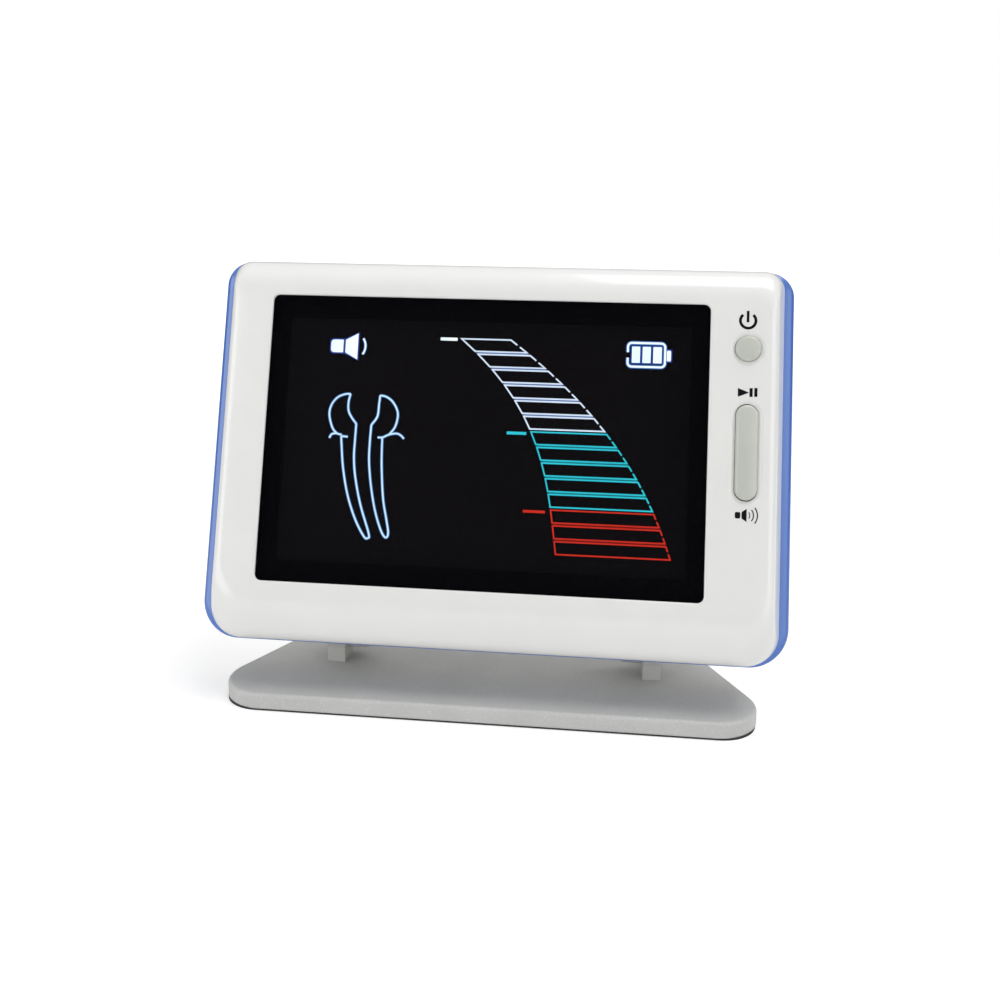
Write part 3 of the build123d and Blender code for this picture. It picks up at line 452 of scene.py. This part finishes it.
# %% Outlines and grids
def outline(half, high, low, top_corner, bottom_corner, x=0.0, steps=14):
    """Rounded outlines, one for each row of the sizes, as an array (rows, points, 2) of (x, up).

    Each corner is a quarter circle, centre + radius * (cos a, sin a), and the straight sides are
    what joins one quarter to the next. It runs anticlockwise from the right side.
    """
    half, high, low, top_corner, bottom_corner = np.broadcast_arrays(
        *[np.atleast_1d(np.asarray(v, float)) for v in (half, high, low, top_corner, bottom_corner)])
    quarter = np.linspace(0.0, math.pi / 2, steps + 1)
    parts = []
    for corner, (right, upper) in enumerate(((1, 1), (-1, 1), (-1, 0), (1, 0))):
        radius = top_corner if upper else bottom_corner
        centre = np.stack([right * (half - radius), high - radius if upper else low + radius], axis=-1)
        angle = quarter + corner * math.pi / 2
        ring = np.stack([np.cos(angle), np.sin(angle)], axis=-1)
        parts.append(centre[:, None, :] + radius[:, None, None] * ring[None, :, :])
    loops = np.concatenate(parts, axis=1)
    loops[..., 0] += x
    return loops


def at_depths(loops, depths):
    """Outlines (rows, points, 2) set at their depths behind the face: (rows, points, 3)."""
    depths = np.broadcast_to(np.asarray(depths, float), loops.shape[:1])
    inward = np.broadcast_to(depths[:, None], loops.shape[:2])
    return np.stack([loops[..., 0], inward, loops[..., 1]], axis=-1)


def grid_faces(rows, around, first=0, closed=True):
    """Four-sided faces between neighbouring rows of points that are numbered row by row."""
    row = np.arange(rows - 1)[:, None] * around
    step = np.arange(around if closed else around - 1)[None, :]
    ahead = (step + 1) % around
    quads = np.stack([row + step, row + ahead, row + ahead + around, row + step + around], axis=-1)
    return quads.reshape(-1, 4) + first


print("outline points:", outline(1, 1, -1, 0.3, 0.3).shape)


# %% Skins
class Skin:
    """Gathers grids and flat sheets of points and faces into one surface."""

    def __init__(self):
        self.points, self.faces, self.count = [], [], 0

    def grid(self, rows):
        """Adds a stack of closed rows (rows, points, 3); returns the numbers of each row's points."""
        number = self.count + np.arange(rows.shape[0] * rows.shape[1]).reshape(rows.shape[:2])
        self.faces += grid_faces(rows.shape[0], rows.shape[1], self.count).tolist()
        self.points.append(rows.reshape(-1, 3))
        self.count += rows.shape[0] * rows.shape[1]
        return number

    def sheet(self, *loops):
        """Fills the flat space between an outer loop of point numbers and the loops of its holes."""
        points = np.concatenate(self.points)
        corners = [[Vector(p) for p in points[loop]] for loop in loops]
        numbers = np.concatenate(loops)
        self.faces += numbers[np.array(tessellate_polygon(corners))].tolist()


def piece(name, points, faces, material, body, sharp=32.0):
    """A finished object: doubled points merged, faces outwards, smooth but for edges over sharp degrees."""
    mesh = bpy.data.meshes.new(name)
    mesh.from_pydata(np.asarray(points).tolist(), [], faces)
    work = bmesh.new()
    work.from_mesh(mesh)
    bmesh.ops.remove_doubles(work, verts=work.verts, dist=1e-8)
    bmesh.ops.dissolve_degenerate(work, edges=work.edges, dist=1e-8)
    bmesh.ops.recalc_face_normals(work, faces=work.faces)
    work.to_mesh(mesh)
    work.free()
    mesh.shade_smooth()
    mesh.set_sharp_from_angle(angle=math.radians(sharp))
    mesh.materials.append(material)
    obj = bpy.data.objects.new(name, mesh)
    bpy.context.scene.collection.objects.link(obj)
    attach(obj, body)
    open_edges = int(np.sum(np.unique(edge_use(mesh), return_counts=True)[1] != 2))
    print(name, "faces", len(mesh.polygons), "open edges", open_edges)
    return obj


def edge_use(mesh):
    """The edge number of every face corner, so that a closed surface uses each edge twice."""
    used = np.empty(len(mesh.loops), int)
    mesh.loops.foreach_get("edge_index", used)
    return used


print("skin helpers ready")

# %% [markdown]
# ## The rubber pad
# The pad under the base shows as a thin dark line all round. It is cut a little smaller than the
# base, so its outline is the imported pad's, let out evenly until it stops just short of the base.

# %% Pad
PAD_SHORT = 0.00025
pad_mesh = frame["nodes"]["base_pad"].data
pad_faces = np.empty(3 * len(pad_mesh.polygons), int)
pad_mesh.polygons.foreach_get("vertices", pad_faces)
reach = (node_points("base_plate").max(0) - PAD_SHORT) / node_points("base_pad").max(0)
pad_points = node_points("base_pad") * np.array([reach[0], reach[1], 1.0])
pad_black = moulded("pad_black", (0.03, 0.03, 0.03), 0.75, drift=0.2, skin=0.00002)
foot_pad = piece("foot_pad", pad_points, pad_faces.reshape(-1, 3).tolist(), pad_black, "base")
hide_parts("base_pad")

# %% [markdown]
# ## The front cover
# The real cover is one thin moulding. Its top and bottom roll back on a quarter ellipse, its sides
# have a small round edge and a slight taper, and the window and both buttons come through it. The
# solid model makes the rolls from flat strips; here the same rolls have fine steps and shine like
# one surface. The flat face needs only its borders, because a flat sheet shades the same however
# it is cut up.


# %% Sections of the cover
def cover_rows(inset, steps, edge):
    """Outer or inner sections of the cover from its face to the seam.

    At a turn t from 0 to 90 degrees the depth is a share 1 - cos t of the way to the seam, and
    the ends have dropped by 1 - sin t of their roll, which is a quarter ellipse.
    """
    t = np.linspace(0.0, math.pi / 2, steps)
    depth = inset + (SEAM - inset) * (1 - np.cos(t))
    drop = 1 - np.sin(t)
    side = inset + FACE_INSET * (1 - depth / SEAM)
    lack = np.clip(edge - depth, 0.0, None)
    side = side + np.where(depth < edge, edge - np.sqrt(np.clip(edge**2 - lack**2, 0.0, None)), 0.0)
    loops = outline(HALF - side, TOP - inset - (TOP_ROLL - inset) * drop,
                    BOTTOM + inset + (BOTTOM_ROLL - inset) * drop, TOP_CORNER - inset, BOTTOM_CORNER - inset)
    return at_depths(loops, depth)


def shrunk_face(by):
    """The border of the flat face, moved in by this much."""
    side = FACE_INSET + FACE_EDGE + by
    return at_depths(outline(HALF - side, TOP - TOP_ROLL - by, BOTTOM + BOTTOM_ROLL + by, TOP_CORNER - by,
                             BOTTOM_CORNER - by), 0.0)


def opening_rows(half, high, low, corner, x, profile):
    """Rows round an opening: profile lists (how much the opening is grown, depth) from the face inwards."""
    grow, depth = np.array(profile, float).T
    return at_depths(outline(half + grow, high + grow, low - grow, corner + grow, corner + grow, x), depth)


def round_over(radius, steps=6):
    """A quarter-round profile from the face into an opening, as (grown by, depth) pairs."""
    t = np.linspace(0.0, math.pi / 2, steps)
    return [(radius * (1 - s), radius * (1 - c)) for s, c in zip(np.sin(t), np.cos(t))]


SEAM_ROUND = 0.22
seam_turn = np.linspace(0.0, math.pi / 2, 5)[1:]
pulled_in = SEAM_ROUND * (1 - np.cos(seam_turn))
lip_rows = at_depths(outline(HALF - pulled_in, TOP - pulled_in, BOTTOM + pulled_in, TOP_CORNER,
                             BOTTOM_CORNER), SEAM - SEAM_ROUND + SEAM_ROUND * np.sin(seam_turn))
outer_rows = cover_rows(0.0, 56, FACE_EDGE)
outer_rows = outer_rows[outer_rows[:, 0, 1] < SEAM - SEAM_ROUND - 0.03]
inner_rows = cover_rows(WALL, 16, 0.0)[::-1]
print("cover sections:", len(outer_rows), "outside,", len(inner_rows), "inside")

# %% Sizes of the buttons
power_low, power_high = head_box("power_button")
rocker_low, rocker_high = head_box("rocker_button")
FLANGE = 0.9
POWER_X, POWER_UP = (power_low[0] + power_high[0]) / 2, (power_low[2] + power_high[2]) / 2
POWER_RADIUS = (power_high[0] - power_low[0]) / 2 - FLANGE
ROCKER_X, ROCKER_UP = (rocker_low[0] + rocker_high[0]) / 2, (rocker_low[2] + rocker_high[2]) / 2
ROCKER_HALF = (rocker_high[0] - rocker_low[0]) / 2 - FLANGE
ROCKER_REACH = (rocker_high[2] - rocker_low[2]) / 2 - FLANGE
POWER_GAP, ROCKER_GAP, ROCKER_SIDE_GAP = 0.06, 0.22, 0.07
DISH, DISH_DEPTH, DISH_LIP, BORDER = 1.0, 0.30, 0.15, 0.3
print("power radius, mm:", round(POWER_RADIUS, 2))
print("rocker, mm:", round(2 * ROCKER_HALF, 2), "by", round(2 * ROCKER_REACH, 2))

# %% Front cover
def button_profile(gap):
    """From the face down a shallow dish, round its lip, and through the wall."""
    share = np.linspace(0.0, 1.0, 9)
    fall = DISH_DEPTH * share**2 * (3 - 2 * share)
    dish = [(gap + DISH * (1 - s), d) for s, d in zip(share, fall)]
    return [(gap + DISH + BORDER, 0.0)] + dish + [(gap, DISH_DEPTH + DISH_LIP), (gap, WALL)]


RIM_ROUND, RIM_BORDER, LENS_ROOM = 0.36, 0.42, 0.1
window_profile = [(RIM_BORDER + BORDER, 0.0), (RIM_BORDER, 0.0)] + round_over(RIM_ROUND) + [
    (0.0, LIP_DEPTH), (LIP + LENS_ROOM, LIP_DEPTH), (LIP + LENS_ROOM, WALL)]
cover = Skin()
body_rows = cover.grid(np.concatenate([shrunk_face(BORDER), outer_rows, lip_rows, inner_rows]))
window_rows = cover.grid(opening_rows(WINDOW_HALF, WINDOW_UP, -WINDOW_UP, WINDOW_CORNER, WINDOW_X,
                                      window_profile))
power_rows = cover.grid(opening_rows(POWER_RADIUS, POWER_UP + POWER_RADIUS, POWER_UP - POWER_RADIUS,
                                     POWER_RADIUS, POWER_X, button_profile(POWER_GAP)))
SLOT_HALF = ROCKER_HALF + ROCKER_SIDE_GAP - ROCKER_GAP
rocker_rows = cover.grid(opening_rows(SLOT_HALF, ROCKER_UP + ROCKER_REACH, ROCKER_UP - ROCKER_REACH,
                                      SLOT_HALF, ROCKER_X, button_profile(ROCKER_GAP)))
cover.sheet(body_rows[0], window_rows[0], power_rows[0], rocker_rows[0])
cover.sheet(body_rows[-1], window_rows[-1], power_rows[-1], rocker_rows[-1])
front_cover = piece("front_cover_shell", place_on_head(np.concatenate(cover.points)), cover.faces,
                    shell_white, "head", sharp=40.0)
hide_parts("front_cover")

# %% [markdown]
# ## The blue band
# The band is a tinted moulding between the two covers. It is full and round at the sides, a thin
# line below and hardly proud on top, so its section is half an ellipse whose height changes round
# the head. Its edges dip a little, so that a thin shadow line parts it from each cover.


# %% Band
def band_colour():
    """Tinted plastic, deeper in the middle of its depth and paler towards both edges; the paler edges are a
    painted sheen on its round section.
    """
    material, graph, shader, place = begin("trim_blue")
    depth = graph.dot(place, 1000 * INWARD) - float(1000 * HEAD_ZERO @ INWARD)
    edge = abs((depth - (SEAM + SEAM_BACK) / 2) / ((SEAM_BACK - SEAM) / 2))
    cloud = graph.noise(place, 150.0, 2.0)
    # Paler at both edges of the band's depth: a painted sheen where its round section turns.
    tone = graph.mix(edge.ramp(0.35, 0.95), (0.036, 0.118, 0.46, 1.0), (0.070, 0.19, 0.58, 1.0))
    tone = graph.mix(cloud * 0.18, tone, (0.08, 0.17, 0.62, 1.0))
    feed(graph, shader, Base_Color=tone, Roughness=0.20 + 0.06 * cloud,
         Normal=raised(graph, graph.noise(place, 900.0), 0.000002), Coat_Weight=0.5, Coat_Roughness=0.05)
    return material


BAND_UNDER, EDGE_DIP = 0.32, 0.28
share = np.linspace(0.0, 1.0, 25)
swell = np.sqrt(np.clip(1 - (2 * share - 1) ** 2, 0.0, 1.0))
edge_in = EDGE_DIP * np.clip(1 - 6 * np.minimum(share, 1 - share), 0.0, 1.0)
band_loops = outline(HALF + swell * BAND_SIDE - edge_in, TOP + swell * BAND_END - edge_in,
                     BOTTOM - swell * BAND_UNDER + edge_in, TOP_CORNER + swell * BAND_CORNER,
                     BOTTOM_CORNER + swell * BAND_CORNER, steps=18)
band_rows = at_depths(band_loops, SEAM + share * (SEAM_BACK - SEAM))
inside = at_depths(outline(HALF - WALL, TOP - WALL, BOTTOM + WALL, TOP_CORNER - WALL, BOTTOM_CORNER - WALL,
                           steps=18), [SEAM])
inside_back = inside + np.array([0.0, SEAM_BACK - SEAM, 0.0])
band = Skin()
rows = band.grid(np.concatenate([inside, band_rows, inside_back]))
band.faces += np.stack([rows[-1], np.roll(rows[-1], -1), np.roll(rows[0], -1), rows[0]], axis=-1).tolist()
blue_band = piece("blue_band", place_on_head(np.concatenate(band.points)), band.faces, band_colour(),
                  "head")
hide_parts("trim_frame")

# %% [markdown]
# ## Buttons
# Both caps are slightly crowned with a soft rim, which is what makes their highlights curve. The
# round one is a stack of circles and the long one a stack of slots, from the crown's middle over
# the rim and down to the flange that keeps the cap in.

# %% Button caps
key_grey = moulded("key_grey", (0.545, 0.565, 0.505), 0.30, drift=0.02, grain=1600.0, skin=0.000003,
                   Coat_Weight=0.12, Coat_Roughness=0.12)
RIM, CROWN, FLANGE_THICK, STEM, STEM_REACH = 0.6, 0.28, 0.8, 1.2, 2.2


def cap(name, half, reach, x, up, proud, flange_front, body, node):
    """A crowned cap: its depth grows with the square of the way out, then follows a quarter-round rim."""
    turn = np.linspace(0.1, math.pi / 2, 9)
    inset = np.concatenate([np.linspace(half, RIM, 12), RIM - RIM * np.sin(turn)])
    crown = CROWN * np.clip(1 - inset / half, 0.0, None) ** 2
    top = -proud + crown + np.concatenate([np.zeros(12), RIM * (1 - np.cos(turn))])
    flange_back, stem_end = flange_front + FLANGE_THICK, flange_front + STEM_REACH
    size = np.concatenate([half - inset, [half, half + FLANGE, half + FLANGE, STEM, STEM, 0.0]])
    depth = np.concatenate([top, [flange_front, flange_front, flange_back, flange_back, stem_end, stem_end]])
    loops = outline(size, up + reach - half + size, up - reach + half - size, size, size, x)
    skin = Skin()
    skin.grid(at_depths(loops, depth))
    points = place_on_head(np.concatenate(skin.points))
    obj = piece(name, points, skin.faces, key_grey, body, sharp=50.0)
    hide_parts(node)


PROUD = -power_low[1]
POWER_FLANGE_GAP, ROCKER_FLANGE_GAP = 0.1, 0.7
cap("power_cap", POWER_RADIUS, POWER_RADIUS, POWER_X, POWER_UP, PROUD, WALL + POWER_FLANGE_GAP,
    "power_key", "power_button")
cap("rocker_cap", ROCKER_HALF, ROCKER_REACH, ROCKER_X, ROCKER_UP, PROUD, WALL + ROCKER_FLANGE_GAP,
    "rocker_key", "rocker_button")

# %% [markdown]
# ## Marks
# The display's picture is drawn with lit lines, and the cover's three symbols are printed in
# black. Both are thin strips of even width along a path: each point of the path is moved half a
# width to either side along the bisector of its two runs.


# %% Strips and tiles
def smooth(points, steps=8):
    """A curve through the points: between two of them it is the cubic of Catmull and Rom."""
    p = np.asarray(points, float)
    p = np.concatenate([[2 * p[0] - p[1]], p, [2 * p[-1] - p[-2]]])
    t = np.linspace(0.0, 1.0, steps, endpoint=False)[None, :, None]
    a, b, c, d = (p[i:len(p) - 3 + i, None, :] for i in range(4))
    curve = 0.5 * (2 * b + (c - a) * t + (2 * a - 5 * b + 4 * c - d) * t**2 + (3 * b - 3 * c + d - a) * t**3)
    return np.concatenate([curve.reshape(-1, 2), p[-2:-1]])


def arc(x, up, radius, start, end, steps=24):
    """Points on a circle between two angles in degrees."""
    a = np.radians(np.linspace(start, end, steps))
    return np.stack([x + radius * np.cos(a), up + radius * np.sin(a)], axis=-1)


def strip(path, width, front, back):
    """A bar of even width along a path of (x, up): points (n * 4, 3) and the faces round it."""
    path = np.asarray(path, float)
    run = np.diff(path, axis=0)
    run = run / np.linalg.norm(run, axis=1, keepdims=True)
    before, after = np.concatenate([run[:1], run]), np.concatenate([run, run[-1:]])
    normal = np.stack([-before[:, 1] - after[:, 1], before[:, 0] + after[:, 0]], axis=-1)
    normal = normal / np.linalg.norm(normal, axis=1, keepdims=True)
    lean = np.clip(np.sum(normal * np.stack([-before[:, 1], before[:, 0]], axis=-1), axis=1), 0.4, 1.0)
    offset = normal * (width / 2 / lean)[:, None]
    sides = np.stack([path + offset, path - offset, path - offset, path + offset], axis=1)
    depth = np.broadcast_to([front, front, back, back], sides.shape[:2])
    points = np.stack([sides[..., 0], depth, sides[..., 1]], axis=-1).reshape(-1, 3)
    last = len(points) - 4
    faces = grid_faces(len(path), 4).tolist() + [[0, 1, 2, 3], [last, last + 1, last + 2, last + 3]]
    return points, faces


def tile(corners, front, back):
    """A thin plate with these corners (x, up)."""
    corners = np.asarray(corners, float)
    n = len(corners)
    rows = at_depths(np.stack([corners, corners]), [front, back])
    return rows.reshape(-1, 3), grid_faces(2, n).tolist() + [list(range(n)), list(range(n, 2 * n))]


def marks(name, shapes, material):
    """One object from many strips and tiles."""
    points, faces, count = [], [], 0
    for some_points, some_faces in shapes:
        points.append(some_points)
        faces += [[n + count for n in face] for face in some_faces]
        count += len(some_points)
    piece(name, place_on_head(np.concatenate(points)), faces, material, "head", sharp=30.0)


print("a strip has", len(strip([(0, 0), (1, 0)], 0.1, 0, 0.1)[1]), "faces")

# %% [markdown]
# The lit picture lies between the window and the panel. A curved gauge of fourteen open cells
# falls from white through blue-green to red, with a tick where each colour begins. Beside it are
# a tooth in outline, a loudspeaker and a battery.


# %% Lit colours
def lit(name, colour, strength):
    """A mark that glows: a core colour that drifts a little along it, as a backlight does."""
    material, graph, shader, place = begin(name)
    cloud = graph.noise(place, 250.0, 1.0)
    tone = graph.mix(cloud, shade(colour, 0.82), shade(colour, 1.12))
    feed(graph, shader, Base_Color=(0.0, 0.0, 0.0, 1.0), Roughness=0.6, Emission_Color=tone,
         Emission_Strength=strength)
    return material


lit_white = lit("lit_white", (0.80, 0.92, 1.0), 2.8)
lit_pale = lit("lit_pale", (0.66, 0.78, 1.0), 2.5)
lit_haze = lit("lit_haze", (0.27, 0.38, 0.86), 1.0)
lit_cyan = lit("lit_cyan", (0.03, 0.64, 0.78), 2.0)
lit_teal = lit("lit_teal", (0.016, 0.40, 0.48), 0.95)
lit_red = lit("lit_red", (0.85, 0.035, 0.016), 1.6)
lit_wine = lit("lit_wine", (0.30, 0.008, 0.006), 1.0)
lit_glow = lit("lit_glow", (0.10, 0.34, 1.0), 1.15)
lit_halo = lit("lit_halo", (0.05, 0.12, 0.70), 0.9)
MARK_FRONT, MARK_BACK = WALL + 0.25, WALL + 0.32
HALO_BACK = MARK_BACK + 0.04


def lit_lines(name, lines, width, core, halo, spread=0.32):
    """Bright lines with dimmer, wider ones behind them, as light spreads in the display's glass."""
    marks(name, [strip(line, width, MARK_FRONT, MARK_BACK) for line in lines], core)
    marks(name + "_halo", [strip(line, width + spread, MARK_BACK, HALO_BACK) for line in lines], halo)


print("marks lie", MARK_FRONT, "to", MARK_BACK, "mm behind the face")

# %% Gauge
GAUGE_TOP, GAUGE_BOTTOM, CELLS, CELL_GAP, BREAK_FROM, BREAK_TO = 22.85, -22.75, 14, 0.62, 0.40, 0.56
gauge_left = np.polynomial.Polynomial.fit([22.9, 16.0, 6.1, -7.1, -22.8], [-8.0, -0.8, 6.5, 11.5, 14.3], 3)
gauge_right = np.polynomial.Polynomial.fit([22.9, 16.2, 6.2, -6.9, -22.8], [2.7, 11.3, 21.4, 31.1, 38.2], 3)
pitch = (GAUGE_TOP - GAUGE_BOTTOM + CELL_GAP) / CELLS
cell_lines = {"white": [], "cyan": [], "red": []}
between = {"white": [], "cyan": [], "red": []}
for cell in range(CELLS):
    top = GAUGE_TOP - cell * pitch
    low = top - pitch + CELL_GAP
    kind = "white" if cell < 6 else "cyan" if cell < 11 else "red"
    l_top, l_low, r_top, r_low = gauge_left(top), gauge_left(low), gauge_right(top), gauge_right(low)
    broken = [(r_top + (r_low - r_top) * s, top + (low - top) * s) for s in (BREAK_FROM, BREAK_TO)]
    cell_lines[kind].append([broken[0], (r_top, top), (l_top, top), (l_low, low), (r_low, low), broken[1]])
    if cell not in (5, 10, 13):
        next_low = low - CELL_GAP
        between[kind].append(tile([(l_low + 0.2, low), (r_low - 0.1, low), (gauge_right(next_low), next_low),
                                   (gauge_left(next_low) + 0.1, next_low)], MARK_BACK, HALO_BACK))
for kind, core, fill in (("white", lit_pale, lit_haze), ("cyan", lit_cyan, lit_teal),
                         ("red", lit_red, lit_wine)):
    cells = [strip(line, 0.32, MARK_FRONT, MARK_BACK) for line in cell_lines[kind]]
    marks("gauge_cells_" + kind, cells, core)
    marks("gauge_fill_" + kind, between[kind], fill)
for name, start, end, up, width, paint in (("white", -12.6, -8.9, 22.7, 0.66, lit_white),
                                           ("cyan", 2.8, 7.0, 2.64, 0.62, lit_cyan),
                                           ("red", 7.0, 11.7, -13.95, 0.56, lit_red)):
    marks("gauge_tick_" + name, [strip([(start, up), (end, up)], width, MARK_FRONT, MARK_BACK)], paint)

# %% Tooth
left_crown = smooth([(-33.3, 0.9), (-34.4, 1.2), (-35.5, 2.5), (-36.3, 5.2), (-36.0, 7.3), (-34.8, 9.0),
                     (-33.2, 9.8), (-31.85, 9.95)])
left_side = smooth([(-31.85, 9.95), (-32.2, 8.2), (-32.1, 6.3), (-31.4, 4.9), (-30.2, 3.4)], 5)
left_root = smooth([(-30.2, 3.3), (-30.25, 0.0), (-30.25, -4.0), (-29.65, -8.4), (-28.2, -14.1),
                    (-26.0, -20.2), (-26.15, -21.2), (-27.0, -20.9), (-29.1, -17.4), (-31.1, -12.3),
                    (-32.5, -6.4), (-33.2, -1.0), (-33.35, 0.6)])
right_crown = smooth([(-22.8, 1.3), (-21.6, 3.0), (-21.1, 5.4), (-21.5, 7.1), (-22.6, 8.7), (-24.0, 9.6),
                      (-25.25, 9.8)])
right_side = smooth([(-25.25, 9.8), (-25.4, 7.9), (-25.6, 5.2), (-26.8, 3.3)], 5)
right_root = smooth([(-26.85, 3.1), (-26.95, -0.8), (-26.85, -4.8), (-26.1, -10.1), (-24.9, -15.3),
                     (-23.4, -19.4), (-22.3, -20.9), (-21.75, -20.0), (-22.3, -17.1), (-23.3, -12.6),
                     (-24.0, -6.0), (-24.2, -2.0), (-24.25, 0.6)])
gums = [smooth([(-36.0, 0.1), (-35.5, 0.95), (-34.4, 1.2)], 5), [(-33.3, 0.6), (-31.9, 0.5)],
        smooth([(-25.3, 0.6), (-24.2, 0.65), (-22.8, 1.3), (-21.2, 1.6), (-20.2, 1.2), (-19.5, 0.5)], 6)]
lit_tooth = lit("lit_tooth", (0.62, 0.84, 1.0), 2.5)
lit_lines("tooth_outline", [left_crown, np.concatenate([left_side, left_root]), right_crown,
                            np.concatenate([right_side, right_root]), *gums], 0.33, lit_tooth, lit_glow)


# %% Loudspeaker and battery
def lit_shapes(name, shapes, core, spread=0.28):
    """Filled shapes, given as corner lists, each with a dim copy behind it that is larger all round, a
    painted glow of the light that spreads round the mark.
    """
    marks(name, [tile(corners, MARK_FRONT, MARK_BACK) for corners in shapes], core)
    halos = []
    for corners in shapes:
        corners = np.asarray(corners, float)
        away = corners - corners.mean(0)
        halos.append(tile(corners + spread * np.sign(away), MARK_BACK, HALO_BACK))
    marks(name + "_halo", halos, lit_halo)


def bar(half_x, half_up, radius, x, up):
    """Corners of an upright bar with round corners."""
    return outline(half_x, up + half_up, up - half_up, radius, radius, x, steps=5)[0]


neck = [(-35.0, 19.1), (-34.15, 19.1), (-34.15, 21.9), (-35.0, 21.9)]
cone = [(-33.65, 19.1), (-30.9, 17.6), (-30.9, 23.4), (-33.65, 21.9)]
lit_shapes("speaker_mark", [bar(1.35, 1.42, 0.75, -35.55, 20.5), neck, cone], lit_white)
lit_lines("speaker_wave", [arc(-32.2, 20.55, 3.0, -36, 36)], 0.34, lit_white, lit_glow)
battery_case = outline(3.95, 23.0, 17.85, 0.85, 0.85, 31.95, steps=5)[0]
battery_case = np.concatenate([battery_case[12:], battery_case[:12]])
battery_path = np.concatenate([[(28.0, 19.75)], battery_case[battery_case[:, 1] < 20.5][:12],
                               battery_case[battery_case[:, 1] > 20.5], [(28.0, 20.95)]])
lit_lines("battery_case_mark", [battery_path], 0.42, lit_white, lit_glow, 0.4)
lit_ice = lit("lit_ice", (0.68, 0.90, 0.97), 2.9)
lit_shapes("battery_cap_mark", [bar(0.45, 1.15, 0.25, 36.7, 20.35), bar(0.9, 1.75, 0.1, 34.3, 20.45)],
           lit_white)
lit_shapes("battery_bars_mark", [bar(0.86, 1.75, 0.1, x, 20.45) for x in (29.75, 32.0)], lit_ice)

# %% [markdown]
# The cover's symbols are pad-printed: a film of black ink, a few hundredths of a millimetre thick.

# %% Printed symbols
ink = moulded("print_black", (0.003, 0.003, 0.004), 0.5, drift=0.3, edge=0.0, Specular_IOR_Level=0.15)
INK_FRONT, INK_BACK = -0.03, 0.01


def printed(name, shapes):
    """A symbol of black ink on the front cover."""
    marks(name, shapes, ink)


printed("power_symbol", [strip(arc(POWER_X - 0.2, 27.95, 1.60, 131, 410, 40), 0.58, INK_FRONT, INK_BACK),
                         strip([(POWER_X - 0.24, 27.6), (POWER_X - 0.24, 30.05)], 0.54, INK_FRONT, INK_BACK)])
printed("play_symbol", [tile([(51.0, 11.75), (53.3, 12.68), (51.0, 13.6)], INK_FRONT, INK_BACK),
                        strip([(53.7, 11.8), (53.7, 13.65)], 0.64, INK_FRONT, INK_BACK),
                        strip([(54.68, 11.85), (54.68, 13.7)], 0.64, INK_FRONT, INK_BACK)])
horn = [(52.3, -13.5), (53.3, -14.2), (53.3, -11.5), (52.3, -12.2)]
printed("sound_symbol", [tile(bar(0.55, 0.66, 0.3, 51.48, -12.88), INK_FRONT, INK_BACK),
                         tile(horn, INK_FRONT, INK_BACK),
                         strip(arc(52.9, -12.83, 1.05, -38, 38, 12), 0.17, INK_FRONT, INK_BACK),
                         strip(arc(52.9, -12.83, 1.80, -40, 40, 16), 0.22, INK_FRONT, INK_BACK),
                         strip(arc(52.9, -12.83, 2.60, -38, 38, 16), 0.24, INK_FRONT, INK_BACK)])

# %% [markdown]
# ## The end
# The view layer is brought up to date.

# %% Finish
bpy.context.view_layer.update()
